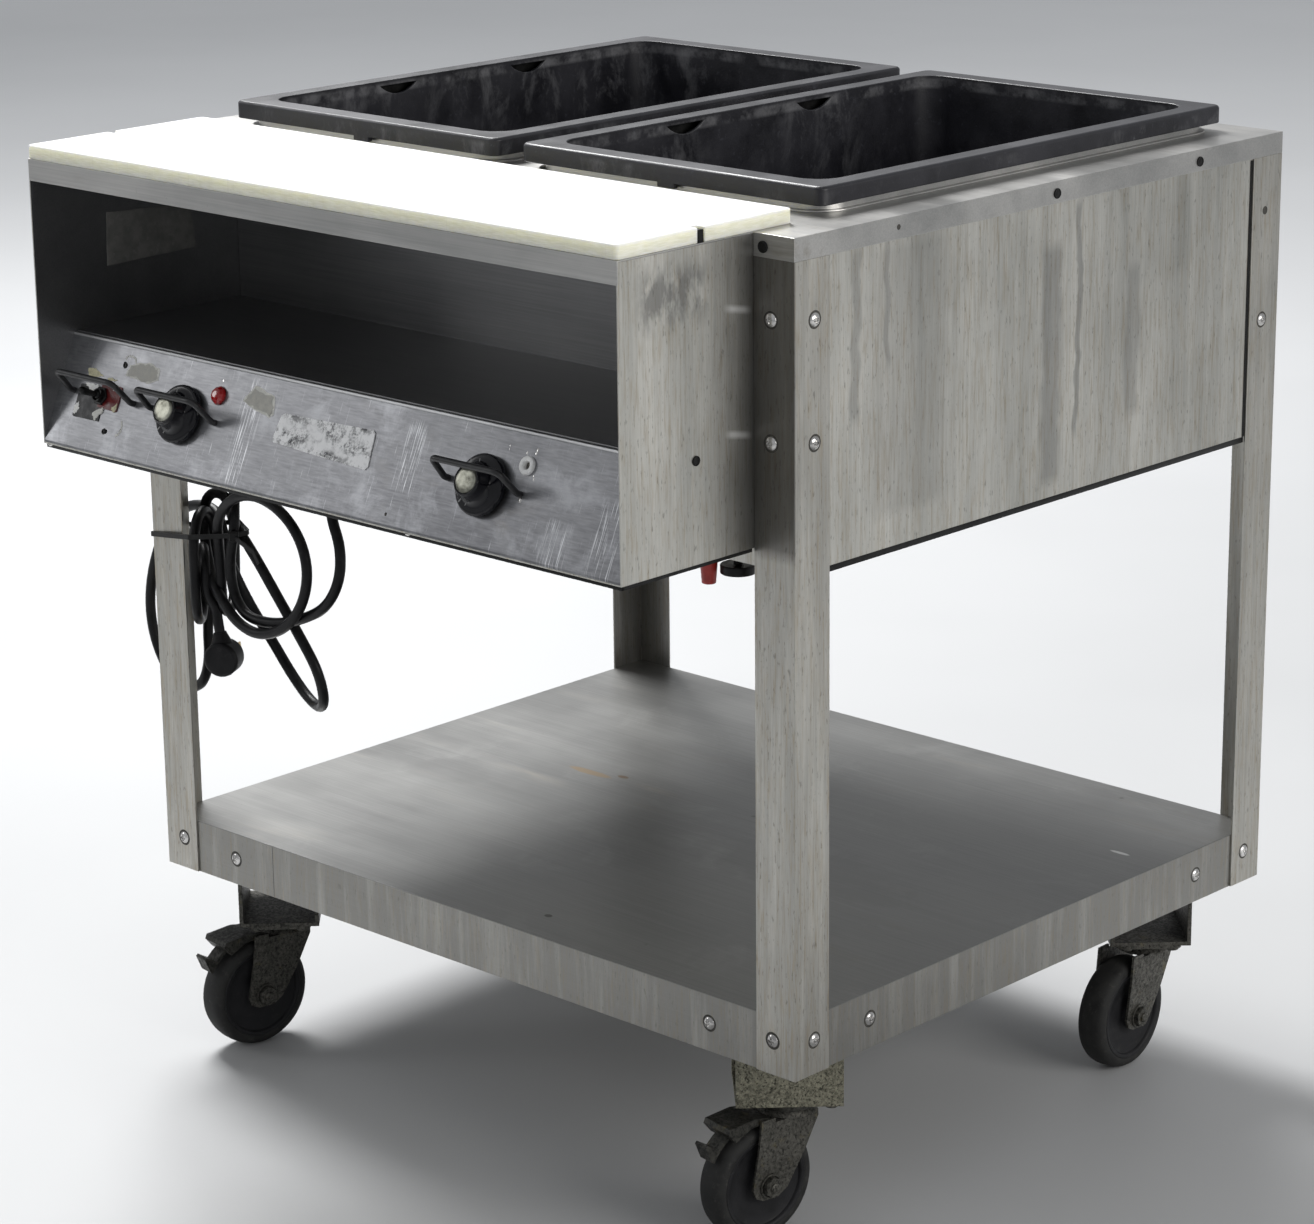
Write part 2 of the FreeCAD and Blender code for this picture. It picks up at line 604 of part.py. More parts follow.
def caster_bolts(name):
    """Four bolts that hold a plate to its channel."""
    bolts = []
    for dx in (-22, 22):
        for dy in (-37, 37):
            bolts.append(rod(V(dx, dy, CASTER_H - PLATE_T - 3.2), Z_AXIS, 6.0, 3.2))
    return [place(b, name, diagonal(name)) for b in bolts]


def fork(name):
    """A pressed fork: a crown with a race, and two tapered cheeks; with its axle bolt."""
    inner, t = WHEEL_T / 2 + 2.5, 2.5
    crown_r = 25.0
    crown = rod(V(0, 0, FORK_Z - t), Z_AXIS, crown_r, t)
    bridge = block(-inner - t, inner + t, -20, 18, FORK_Z - t, FORK_Z)
    race = Part.makeCone(27, 24, CASTER_H - PLATE_T - 7.0 - GAP - FORK_Z, V(0, 0, FORK_Z), Z_AXIS)
    hole = rod(V(0, 0, FORK_Z - 10), Z_AXIS, KINGPIN_R + RUNNING, 30)
    axle_z = WHEEL_D / 2
    cheek_points = [(-45, FORK_Z + 4), (-48, 90), (-55, axle_z), (-52, 46), (-44, 42), (-27, 42),
                    (-17, 48), (2, 76), (18, 106), (18, FORK_Z), (-30, FORK_Z), (-30, FORK_Z + 4)]
    cheeks = [extrude_yz(cheek_points, x0, x0 + t) for x0 in (-inner - t, inner)]
    axle_hole = rod(V(-40, -TRAIL, axle_z), X_AXIS, AXLE_R, 80)
    frame = fuse([crown, bridge, race] + cheeks).cut([hole, axle_hole])
    axle = fuse([rod(V(-inner - t - 1, -TRAIL, axle_z), X_AXIS, AXLE_R, 2 * (inner + t + 1)),
                 rod(V(-inner - t - 5, -TRAIL, axle_z), X_AXIS, 8.5, 5),
                 rod(V(inner + t, -TRAIL, axle_z), X_AXIS, 8.5, 6)])
    return [place(frame, name, YAW[name]), place(axle, name, YAW[name])]


def wheel(name):
    """A solid wheel with a rounded tread and recessed faces."""
    r, t = WHEEL_D / 2, WHEEL_T / 2
    half = [(AXLE_R + RUNNING, t), (13, t), (14, t - 4), (r - 15, t - 4), (r - 12, t - 1),
            (r - 5, t - 1.5), (r - 1.5, t - 5), (r, t - 11)]
    outline = half + [(rr, -tt) for rr, tt in reversed(half)]
    wire = Part.makePolygon([V(tt, rr, 0) for rr, tt in outline + outline[:1]])
    solid = Part.Face(wire).revolve(V(0, 0, 0), X_AXIS, 360)
    solid.translate(V(0, -TRAIL, r))
    return place(solid, name, YAW[name])


PEDAL_PIN_Y = -37.0
PEDAL_PIN_Z = 113.6
PEDAL_CLEAR = 6.0        # over the tread when it is up


def over_tread(degrees, clear):
    """A point over the tread, in the wheel's plane, measured forward from its top."""
    turn, reach = math.radians(degrees), WHEEL_D / 2 + clear
    return (-TRAIL - reach * math.sin(turn), WHEEL_D / 2 + reach * math.cos(turn))


def brake_pedal(name):
    """A toe pedal hinged across the fork: a pad, an arm round the tread and a tab."""
    half = WHEEL_T / 2 + 1.5
    pad = [(-33.5, PEDAL_PIN_Z - 1), (-33.5, PEDAL_PIN_Z + 2.4), (-50, 119), (-77, 116.5),
           (-79, 112), over_tread(36, PEDAL_CLEAR), over_tread(18, PEDAL_CLEAR)]
    arm = [over_tread(a, PEDAL_CLEAR) for a in range(10, 60, 7)]
    arm += [over_tread(59, PEDAL_CLEAR + 3), (-96, 101), (-94, 103)]
    arm += [over_tread(a, PEDAL_CLEAR + 3.5) for a in range(48, 9, -7)]
    pin = rod(V(-half - 0.5, PEDAL_PIN_Y, PEDAL_PIN_Z), X_AXIS, 2.4, 2 * half + 1.0)
    return place(fuse([extrude_yz(pad, -half, half), extrude_yz(arm, -8, 8), pin]), name, YAW[name])


# ---- cutting board ------------------------------------------------------------------
BOARD_HALF = BOX_HALF
POST_X = BOX_HALF - 4.0
POST_Y = -318.0


def cutting_board():
    """A plain slab with a notch in each end for the posts that keep it in place."""
    board = block(-BOARD_HALF, BOARD_HALF, Y_FRONT, Y_FRONT + BOARD_DEPTH,
                  WORK_Z + 0.1, WORK_Z + 0.1 + BOARD_T)
    upright = [e for e in board.Edges if abs(e.Length - BOARD_T) < 0.01]
    board = board.makeFillet(4, upright)
    slots = []
    for sx in (-1, 1):
        slots.append(block(*sorted([sx * (POST_X - 5), sx * (BOARD_HALF + 1)]),
                           POST_Y - 4, POST_Y + 4, WORK_Z, WORK_Z + BOARD_T + 2))
    return board.cut(slots)


def board_posts():
    """Short posts on the work shelf that stand in the board's notches."""
    z1 = WORK_Z + BOARD_T - 2
    return [block(*sorted([sx * (POST_X - 4), sx * (BOX_HALF - 0.4)]), POST_Y - 3, POST_Y + 3,
                  WORK_Z, z1) for sx in (-1, 1)]


# ---- underside fittings -------------------------------------------------------------
BLACK_CAP = (322.0, -232.0, 15.0)
RED_CAP = (303.0, -247.0, 7.6)


def black_cap():
    """A flat round cap under the body, on a short neck."""
    x, y, r = BLACK_CAP
    disc = rod(V(x, y, BODY_Z - 17), Z_AXIS, r, 8)
    neck = rod(V(x, y, BODY_Z - 9), Z_AXIS, 3.9, 14)
    return fuse([disc, neck])


def red_cap():
    """A small tapered cap beside it."""
    x, y, r = RED_CAP
    cone = Part.makeCone(r - 1.6, r, 20, V(x, y, BODY_Z - 26), Z_AXIS)
    neck = rod(V(x, y, BODY_Z - 6), Z_AXIS, 3.9, 11)
    return fuse([cone, neck])


# ---- power cord ---------------------------------------------------------------------
CORD_EXIT = (-175.0, -237.0, BODY_Z)
RELIEF_LEN = 22.0
CORD_R = CORD_D / 2

# the hank: the strands tied together against the inside of the front left leg
HANK_C = (-347.8, -227.5)
HANK_LONG = 66.0
HANK_THICK = 46.0
HANK_Z = (428.0, 562.0)
HANK_ANGLE = 133.4

RUN_TO_HANK = [(-175, -237, BODY_Z - RELIEF_LEN), (-175, -237, 566), (-157, -242, 540),
               (-154, -246, 510), (-172, -248, 481), (-205, -248, 464), (-242, -248, 452),
               (-279, -247, 450), (-310, -243, 461), (-331, -234, 485)]
FRONT_LOOP = [(-340, -238, 514), (-320, -252, 542), (-288, -258, 568), (-254, -259, 577),
              (-218, -259, 568), (-192, -259, 545), (-183, -259, 513), (-195, -259, 478),
              (-222, -259, 452), (-257, -259, 440), (-290, -257, 446), (-318, -252, 464),
              (-336, -244, 488)]
LONG_LOOP = [(-352, -228, 547), (-320, -232, 539), (-289, -234, 512), (-256, -236, 477),
             (-224, -237, 442), (-203, -235, 412), (-205, -226, 382), (-226, -212, 363),
             (-256, -202, 366), (-284, -199, 386), (-306, -199, 410), (-328, -203, 436),
             (-345, -212, 466)]
REAR_LOOP = [(-350, -220, 520), (-378, -203, 534), (-417, -202, 530), (-450, -202, 506),
             (-472, -202, 470), (-485, -202, 430), (-485, -202, 393), (-471, -202, 360),
             (-444, -202, 337), (-411, -202, 345), (-397, -203, 375), (-397, -204, 410),
             (-385, -208, 444), (-352, -218, 476)]
PLUG_DROP = [(-351, -234, 490), (-341, -241, 463), (-335, -243, 443), (-333, -242, 425)]
PLUG_NECK = 12.0
PLUG_R = 17.0
PLUG_THICK = 24.0
PIN_AWAY = V(-0.45, 0.85, -0.25)     # roughly where the blades point


def hank_centre(along):
    """A point on the hank's long middle line, in plan."""
    turn = math.radians(HANK_ANGLE)
    return HANK_C[0] + along * math.cos(turn), HANK_C[1] + along * math.sin(turn)


def hank():
    """The tied strands as one closed flattened column with rounded ends."""
    z0, z1 = HANK_Z
    slab = rounded_slab(0, 0, HANK_LONG, HANK_THICK, z0, z1, HANK_THICK / 2 - 0.1)
    rims = [e for e in slab.Edges if e.BoundBox.ZLength < 0.01]
    slab = slab.makeFillet(12, rims)
    slab.rotate(V(0, 0, 0), Z_AXIS, HANK_ANGLE)
    slab.translate(V(HANK_C[0], HANK_C[1], 0))
    return slab


def strain_relief():
    """A bush through the body's floor with a tapered sleeve round the cord."""
    x, y, z = CORD_EXIT
    collar_ring = rod(V(x, y, z - 3), Z_AXIS, 12.0, 4.5)
    neck = rod(V(x, y, z), Z_AXIS, 7.9, 8)
    sleeve = Part.makeCone(5.8, 9.0, RELIEF_LEN - 3, V(x, y, z - RELIEF_LEN), Z_AXIS)
    return fuse([collar_ring, neck, sleeve])


def plug_frame():
    """Where the plug starts, which way the cord enters it, its middle and its blades' way."""
    before, start = V(*PLUG_DROP[-2]), V(*PLUG_DROP[-1])
    axis = (start - before).normalize()
    blades = (PIN_AWAY - axis * PIN_AWAY.dot(axis)).normalize()
    return start, axis, start + axis * (PLUG_NECK + PLUG_R - 4), blades


def cord_plug():
    """A right-angle plug: a tapered neck into the side of a thick round body."""
    start, axis, middle, blades = plug_frame()
    neck = Part.makeCone(6.0, 11.5, PLUG_NECK + 2, start, axis)
    disc = rod(middle - blades * (PLUG_THICK / 2), blades, PLUG_R, PLUG_THICK)
    rims = [e for e in disc.Edges if len(e.Vertexes) == 1]
    return fuse([neck, disc.makeFillet(4.0, rims)])


def plug_pins():
    """Two flat blades and a round earth pin."""
    _, axis, middle, blades = plug_frame()
    side = blades.cross(axis).normalize()
    face = middle + blades * (PLUG_THICK / 2)
    pins = [rod(face + axis * 7.0, blades, 2.4, 20)]
    for s in (-1, 1):
        blade = Part.makeBox(1.6, 6.4, 18, V(-0.8, -3.2, 0))
        turn = FreeCAD.Rotation(side, axis, blades, "ZXY")
        blade.Placement = FreeCAD.Placement(face + side * (6.3 * s) - axis * 3.5, turn)
        pins.append(blade)
    return pins


TIE_Z = 515.0
TIE_TILT = -8.0
TIE_HEAD_AT = -30.0                  # where the head sits round the hank, in degrees


def tie_outline():
    """The line that a strap takes round the leg and the hank, in plan."""
    x_leg, y_leg, reach = -HALF_W - 1.1, Y_LEG - 0.6, HANK_THICK / 2 + 2.0
    points = [(x_leg, y_leg + LEG_W + 0.6), (x_leg, y_leg), (x_leg + LEG_W + 1.0, y_leg)]
    half = (HANK_LONG - HANK_THICK) / 2
    for along, first, last in ((-half, -80, 40), (half, 40, 105)):
        cx, cy = hank_centre(along)
        steps = max(2, (last - first) // 20)
        for i in range(steps + 1):
            turn = math.radians(first + (last - first) * i / steps)
            points.append((cx + reach * math.cos(turn), cy + reach * math.sin(turn)))
    return points


def cable_tie():
    """A strap round the leg and the hank, with its head and cut tail."""
    low = TIE_Z - 2.4
    wire = Part.makePolygon([V(x, y, low) for x, y in tie_outline() + tie_outline()[:1]])
    outer = Part.Face(wire.makeOffset2D(1.4)).extrude(V(0, 0, 4.8))
    strap = outer.cut(Part.Face(wire).extrude(V(0, 0, 4.8)))
    x, y = hank_centre(-(HANK_LONG - HANK_THICK) / 2)
    near = HANK_THICK / 2 + 2.5
    head = block(near, near + 7, -4, 4, -4, 4)
    head.rotate(V(0, 0, 0), Z_AXIS, TIE_HEAD_AT)
    head.translate(V(x, y, TIE_Z))
    at = head.CenterOfMass
    tail = block(at.x, at.x + 40, at.y - 0.6, at.y + 0.6, at.z - 2.2, at.z + 2.2)
    tail.rotate(at, V(0, 1, 0), 30)
    tie = fuse([strap, head, tail])
    tie.rotate(V(-HALF_W + LEG_W / 2, Y_LEG, TIE_Z), V(0, 1, 0), TIE_TILT)
    return tie


# ---- write every node ---------------------------------------------------------------
def main():
    for name, (sx, sy) in SIGNS.items():
        write("leg_" + name, leg(sx, sy))
        write("fork_" + name, fork(name))
        write("wheel_" + name, wheel(name))
    for name in ("front_left", "front_right"):
        write("brake_pedal_" + name, brake_pedal(name))
    write("caster_brackets", [caster_bracket(n) for n in SIGNS])
    bolts = [b for name in SIGNS for b in caster_bolts(name)]
    write("caster_plates", [caster_plate(n) for n in SIGNS] + bolts)
    write("lower_shelf", lower_shelf())
    write("rear_panel", rear_panel())
    write("bottom_pan", bottom_pan())
    write("worktop", worktop())
    write("work_shelf", work_shelf())
    write("storage_tray", storage_tray())
    write("control_panel", control_panel())
    write("box_bottom", box_bottom())
    for side, sx in (("left", -1), ("right", 1)):
        write("well_" + side, well(sx))
        write("knob_" + side, knob(sx))
        write("knob_cap_" + side, knob_cap(sx))
        write("control_shaft_" + side, control_shaft(sx))
    write("side_panels", [side_panel(sx) for sx in (-1, 1)])
    write("box_sides", [box_side(sx) for sx in (-1, 1)])
    write("well_collars", [collar(sx) for sx in (-1, 1)])
    write("element_pans", [element_pan(sx) for sx in (-1, 1)])
    write("heating_elements", [heating_element(sx) for sx in (-1, 1)])
    write("thermostats", [thermostat(sx) for sx in (-1, 1)])
    write("control_guards", [guard(x) for x in GUARDS.values()])
    write("pilot_lamp_red", pilot_lamp(RED_LAMP_X, 8.0, 5.0))
    write("pilot_lamp_white", ring_lamp(WHITE_LAMP_X))
    write("power_switch", power_switch())
    write("switch_lever", switch_lever())
    write("switch_plate", switch_plate())
    write("name_plate", name_plate())
    write("rating_label", rating_label())
    write("terminal_block", terminal_block())
    write("wiring", wiring())
    write("frame_screws", leg_screws() + shelf_screws())
    write("plug_buttons", plug_buttons())
    write("cutting_board", cutting_board())
    write("board_posts", board_posts())
    write("underside_cap_black", black_cap())
    write("underside_cap_red", red_cap())
    bundle = hank()
    write("cord_strain_relief", strain_relief())
    routes = {"run": RUN_TO_HANK, "front loop": FRONT_LOOP, "long loop": LONG_LOOP,
              "rear loop": REAR_LOOP, "plug drop": PLUG_DROP}
    write("power_cord", [tube_along(route, CORD_R, name).cut(bundle) for name, route in routes.items()])
    write("cord_hank", bundle)
    write("cord_plug", cord_plug())
    write("plug_pins", plug_pins())
    write("cable_tie", cable_tie())


main()
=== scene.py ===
"""Looks for the steam table unit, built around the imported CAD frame.  Metres, +Z up."""
import bpy
import bmesh
import json
import math
import random
from mathutils import Matrix, Vector


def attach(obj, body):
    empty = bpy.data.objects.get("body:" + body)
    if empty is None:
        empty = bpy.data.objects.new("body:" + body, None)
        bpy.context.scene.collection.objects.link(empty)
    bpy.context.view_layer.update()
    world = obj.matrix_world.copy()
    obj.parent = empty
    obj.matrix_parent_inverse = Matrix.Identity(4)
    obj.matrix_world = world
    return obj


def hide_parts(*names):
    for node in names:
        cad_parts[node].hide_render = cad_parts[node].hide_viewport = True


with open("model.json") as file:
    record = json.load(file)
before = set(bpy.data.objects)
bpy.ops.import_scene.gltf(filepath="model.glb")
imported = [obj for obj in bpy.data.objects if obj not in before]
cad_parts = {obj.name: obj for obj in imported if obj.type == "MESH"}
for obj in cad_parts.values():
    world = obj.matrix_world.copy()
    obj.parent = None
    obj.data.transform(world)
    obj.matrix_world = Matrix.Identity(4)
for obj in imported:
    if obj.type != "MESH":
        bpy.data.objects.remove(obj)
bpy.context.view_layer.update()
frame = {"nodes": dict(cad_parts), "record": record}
NODES = frame["nodes"]
RECORD = frame["record"]
BODY = {n: b for b, ns in RECORD["behaviour"]["bodies"].items() for n in ns}
SLOT = {s["node"]: s["material_slot"] for s in RECORD["subparts"]}
MM = 0.001


def mm(*p):
    """A point in metres from millimetres."""
    return Vector(p) * MM


def turned(degrees, axis="Z"):
    """A turn about an axis, in degrees."""
    return Matrix.Rotation(math.radians(degrees), 4, axis)


def moved(*p):
    """A move by millimetres."""
    return Matrix.Translation(mm(*p))


def placed(name, data):
    """A new object in the scene."""
    obj = bpy.data.objects.new(name, data)
    bpy.context.scene.collection.objects.link(obj)
    return obj


# ---- the places that the detail goes by, in millimetres ----
HALF_W, LEG_W = 406.5, 43.5
Y_FRONT, Y_LEG, Y_BACK = -413.5, -257.5, 413.5
BODY_Z, SHELF_Z, BOARD_TOP, RIM_Z = 620.0, 232.0, 909.5, 920.5
WELL_X, WELL_Y0, WELL_Y1 = 188.25, -150.2, 360.5        # middle and ends of a well's opening
WELL_HALF = 154.0                                       # half the opening's width
PANEL_LOW_Z, PANEL_RISE, PANEL_SETBACK = 641.0, 92.0, 41.5
SLOPE = math.atan2(PANEL_RISE, PANEL_SETBACK)
PANEL_LEN = math.hypot(PANEL_RISE, PANEL_SETBACK)
PANEL_MID = PANEL_LEN / 2 - 1
UP = Vector((0, math.cos(SLOPE), math.sin(SLOPE)))
OUT = Vector((0, -math.sin(SLOPE), math.cos(SLOPE)))
SWITCH_X, KNOB_X, LAMP_UP = -301.0, 190.0, 73.5
RED_LAMP_X, WHITE_LAMP_X = -149.5, 231.0
LABEL_X = -361.45                                       # the rating label, on the box's left side
CORD_EXIT = (-175, -237, 598)
TIE_Z = 515.0
AXLE_Z, TRAIL, CASTER_INSET = 54.0, 36.0, 76.5


def on_panel(x, up, out=0.0):
    """A point on the control panel, in metres: across, up the slope, out from its face."""
    return (Vector((x, Y_FRONT, PANEL_LOW_Z)) + UP * up + OUT * out) * MM


# ---- camera ----
CAMERA_AT, LENS = (2379.0, -2501.7, 1469.3), 105.565


def camera():
    """The photograph's own view, solved from its edges."""
    forward = Vector((-0.65981, 0.69661, -0.28175)).normalized()
    right = Vector((0.72819, 0.68529, -0.01092)).normalized()
    data = bpy.data.cameras.new("camera")
    data.sensor_width = 36.0
    data.lens = LENS
    cam = placed("camera", data)
    turn = Matrix((right, right.cross(forward), -forward)).transposed()
    cam.matrix_world = moved(*CAMERA_AT) @ turn.to_4x4()
    bpy.context.scene.camera = cam


camera()

# ---- power cord: one line from the relief, through the tied hank, to the plug ----
CORD_D = 10.0
HANK = Vector((-347.8, -227.5))
HANK_TURN = math.radians(133.4)
ALONG = Vector((math.cos(HANK_TURN), math.sin(HANK_TURN)))
ACROSS = Vector((-math.sin(HANK_TURN), math.cos(HANK_TURN)))


def hank(a, b, z):
    """A point in the hank: along its long side, across it, and its height."""
    p = HANK + ALONG * a + ACROSS * b
    return (p.x, p.y, z)


def fold(start, end, z, up=1, first=0, last=6):
    """Part of a half turn between two strands of the hank, over the top or under the bottom."""
    (a0, b0), (a1, b1) = start, end
    r = math.hypot(a1 - a0, b1 - b0) / 2
    points = []
    for step in range(first, last + 1):
        t = math.radians(30 * step)
        w = (1 - math.cos(t)) / 2
        points.append(hank(a0 + (a1 - a0) * w, b0 + (b1 - b0) * w, z + up * r * math.sin(t)))
    return points


RUN = [(-175, -237, 613), CORD_EXIT, (-174, -238, 566), (-156, -243, 541),
       (-154, -247, 510), (-172, -249, 481), (-205, -249, 464), (-242, -249, 452),
       (-282, -247, 449), (-302, -244.5, 459)]
ARCH = [(-313, -242, 477), (-311, -244, 504), (-303, -244, 533), (-306.5, -240, 549.5),
        (-316, -231, 562), (-329, -220, 567), (-342, -209.5, 563), (-351.5, -202, 551.5),
        (-355, -199, 535)]
FRONT_LOOP = [(-318, -252, 542), (-288, -258, 568), (-254, -259, 577),
              (-218, -259, 568), (-192, -259, 545), (-183, -259, 513), (-195, -259, 478),
              (-222, -259, 452), (-257, -259, 440), (-290, -257, 446), (-317, -252, 463)]
LONG_LOOP = [(-319, -232, 534), (-289, -234, 509), (-256, -236, 475), (-224, -237, 441),
             (-203, -235, 412), (-205, -226, 382), (-226, -212, 363), (-256, -202, 366),
             (-284, -199, 386), (-306, -199, 410), (-328, -202, 436)]
REAR_LOOP = [(-378, -203, 532), (-417, -202, 529), (-450, -202, 506), (-472, -202, 470),
             (-485, -202, 430), (-485, -202, 393), (-471, -202, 360), (-444, -202, 337),
             (-411, -202, 345), (-397, -203, 375), (-397, -204, 410), (-385, -208, 444)]
PLUG_DROP = [(-336, -243, 449), (-334.5, -242.7, 437), (-333, -242, 424)]


def cord_route():
    """Every point of the cord, in order, in millimetres."""
    b, c = (28, -12), (-28.5, -5)                       # strands of the hank, along and across it
    h, i, j = (-26, 20), (-24, 10), (32, 19)
    route = RUN + ARCH + [hank(28.5, -13, 512)]
    route += fold(b, c, 468, -1) + [hank(-28, -5, 490), hank(-28.5, -4, 515)]
    route += FRONT_LOOP + [hank(-24, 4, 476), hank(-8, 8, 487), hank(8, 12, 497), hank(22, 15, 509)]
    route += fold((28, 16), (-20, -22), 525, 1, 0, 4)
    route += LONG_LOOP + [hank(8, -17, 466), hank(6, -8, 493), hank(14, -4, 516)]
    route += REAR_LOOP + [hank(31, 8, 472), hank(33, 9, 492)]
    route += fold((33, 9), h, 508) + [hank(*h, 494), hank(*h, 477)]
    route += fold(h, j, 460, -1)
    route += fold(j, i, 474) + [hank(-24, 8, 461)]
    return route + PLUG_DROP


def line_length(points, steps=12):
    """Length of the smooth curve that the cord's spline makes of its points."""
    middles = [(p + q) / 2 for p, q in zip(points[1:-2], points[2:-1])]
    middles = [points[0], *middles, points[-1]]
    total, line = 0.0, [points[0]]
    for start, control, end in zip(middles, points[1:-1], middles[1:]):
        for i in range(1, steps + 1):
            t = i / steps
            line.append(start * (1 - t) ** 2 + control * 2 * t * (1 - t) + end * t ** 2)
    for p, q in zip(line, line[1:]):
        total += (q - p).length
    return total, line


def cord():
    """The cord's curve, and its smooth line for the strap to go round."""
    points = [mm(*p) for p in cord_route()]
    data = bpy.data.curves.new("flex", "CURVE")
    data.dimensions = "3D"
    data.bevel_depth = CORD_D / 2 * MM
    data.bevel_resolution = 6
    data.resolution_u = 10
    spline = data.splines.new("NURBS")
    spline.points.add(len(points) - 1)
    for target, p in zip(spline.points, points):
        target.co = (*p, 1.0)
    spline.order_u = 3
    spline.use_endpoint_u = True
    return placed("flex", data), *line_length(points)


flex, CORD_LENGTH, CORD_LINE = cord()


# ---- materials ----
MAT = {}


class Shader:
    """A material's nodes, with short names for the ones used here; it files itself in MAT."""

    def __init__(self, name, **values):
        self.mat = MAT[name] = bpy.data.materials.new(name)
        self.mat.use_nodes = True
        self.tree = self.mat.node_tree
        self.bsdf = self.tree.nodes["Principled BSDF"]
        self.coords = self.tree.nodes.new("ShaderNodeTexCoord").outputs["Object"]
        for key, value in values.items():
            self.bsdf.inputs[key.replace("_", " ")].default_value = value

    def put(self, target, value):
        if isinstance(value, bpy.types.NodeSocket):
            self.tree.links.new(value, target)
        else:
            target.default_value = value

    def node(self, kind, **settings):
        """A new node; a setting that starts with a capital letter goes to the input of that name."""
        node = self.tree.nodes.new("ShaderNode" + kind)
        for key, value in settings.items():
            if key[0].isupper():
                self.put(node.inputs[key], value)
            else:
                setattr(node, key, value)
        return node

    def math(self, operation, a, b=0.0, clamp=False):
        node = self.node("Math", operation=operation, use_clamp=clamp)
        self.put(node.inputs[0], a)
        self.put(node.inputs[1], b)
        return node.outputs[0]

    def times(self, a, b):
        return self.math("MULTIPLY", a, b)

    def plus(self, a, b, clamp=False):
        return self.math("ADD", a, b, clamp)

    def minus(self, a, b):
        return self.math("SUBTRACT", a, b)

    def dot(self, axis):
        """How far a point lies along a direction, in metres."""
        node = self.node("VectorMath", operation="DOT_PRODUCT")
        self.put(node.inputs[0], self.coords)
        node.inputs[1].default_value = axis
        return node.outputs["Value"]

    def place(self, scale=(1, 1, 1), turn=(0, 0, 0), shift=(0, 0, 0), coords=None):
        return self.node("Mapping", Vector=coords or self.coords, Scale=scale, Rotation=turn,
                         Location=shift).outputs[0]

    def noise(self, scale, detail=3.0, rough=0.55, stretch=(1, 1, 1), turn=(0, 0, 0),
              shift=(0, 0, 0), warp=0.0):
        return self.node("TexNoise", Vector=self.place(stretch, turn, shift), Scale=scale,
                         Detail=detail, Roughness=rough, Distortion=warp).outputs["Fac"]

    def cells(self, scale, shift):
        return self.node("TexVoronoi", Vector=self.place(shift=shift), Scale=scale).outputs["Distance"]

    def ramp(self, value, low, high, out_low=0.0, out_high=1.0):
        """value taken from low..high to out_low..out_high, and no further."""
        node = self.node("MapRange", clamp=True)
        for i, v in enumerate((value, low, high, out_low, out_high)):
            self.put(node.inputs[i], v)
        return node.outputs[0]

    def mix(self, factor, a, b):
        """a or b by factor; a colour is a socket, three numbers, or one number for a grey."""
        node = self.node("Mix", data_type="RGBA")
        self.put(node.inputs[0], factor)
        for target, value in ((node.inputs[6], a), (node.inputs[7], b)):
            if isinstance(value, float):
                value = (value, value, value)
            self.put(target, (*value, 1.0) if isinstance(value, tuple) else value)
        return node.outputs[2]

    def cover(self, color, tint, where, amount):
        """color under tint, which shows by amount wherever where is 1."""
        return self.mix(self.times(where, amount), color, tint)

    def bump(self, height, strength, distance, **under):
        """A bump from a height; Normal= puts it on top of another."""
        return self.node("Bump", Strength=strength, Distance=distance, Height=height,
                         **under).outputs[0]

    def finish(self, color, rough, normal=None):
        for key, value in (("Base Color", color), ("Roughness", rough), ("Normal", normal)):
            if value is not None:
                self.put(self.bsdf.inputs[key], value)
        return self.mat


def window(s, value, start, end, soft):
    """1 where value lies between start and end, fading over soft."""
    return s.times(s.ramp(value, start - soft, start), s.ramp(value, end, end + soft, 1, 0))


def steel(name, dark, light, rough=(0.30, 0.46), grain=(700, 700, 9), streaks=(26, 26, 1.6),
          stain=(0.30, 0.27, 0.22), stain_amount=0.5, pits=0.5, ripple=0.02, extra=None):
    """Worn brushed stainless: fine grain, broad streaks, drips, stains, specks and shallow waves."""
    s = Shader(name, Metallic=0.92)
    fine = s.noise(1.0, 3.0, 0.6, stretch=grain)
    broad = s.noise(1.0, 4.0, 0.6, stretch=streaks)
    cloud = s.noise(5.5, 5.0, 0.62)
    tone = s.plus(s.times(fine, 0.34), s.times(broad, 0.34))
    tone = s.plus(tone, s.times(cloud, 0.32))
    color = s.mix(s.ramp(tone, 0.36, 0.64), dark, light)
    narrow = tuple(2.1 * v for v in streaks)
    drip = s.ramp(s.noise(1.0, 5.0, 0.7, stretch=narrow, shift=(3, 7, 1)), 0.56, 0.74)
    patch = s.ramp(s.noise(3.1, 4.0, 0.6, shift=(9, 2, 4)), 0.46, 0.66)
    film = s.times(s.times(drip, patch), stain_amount)
    color = s.mix(film, color, stain)
    specks = s.ramp(s.noise(330.0, 2.0, 0.7), 0.70, 0.76)
    specks = s.times(s.times(specks, s.ramp(cloud, 0.42, 0.62)), pits)
    color = s.mix(specks, color, (0.08, 0.075, 0.065))
    if extra:
        color = extra(s, color)
    r = s.ramp(s.plus(s.times(broad, 0.5), s.times(cloud, 0.5)), 0.35, 0.65, *rough)
    r = s.plus(r, s.times(film, 0.18), clamp=True)
    wave = s.noise(7.0, 1.0, 0.4, shift=(1, 5, 2))
    normal = s.bump(wave, ripple * 10, 0.003)
    normal = s.bump(fine, 0.10, 0.0004, Normal=normal)
    return s.finish(color, r, normal)


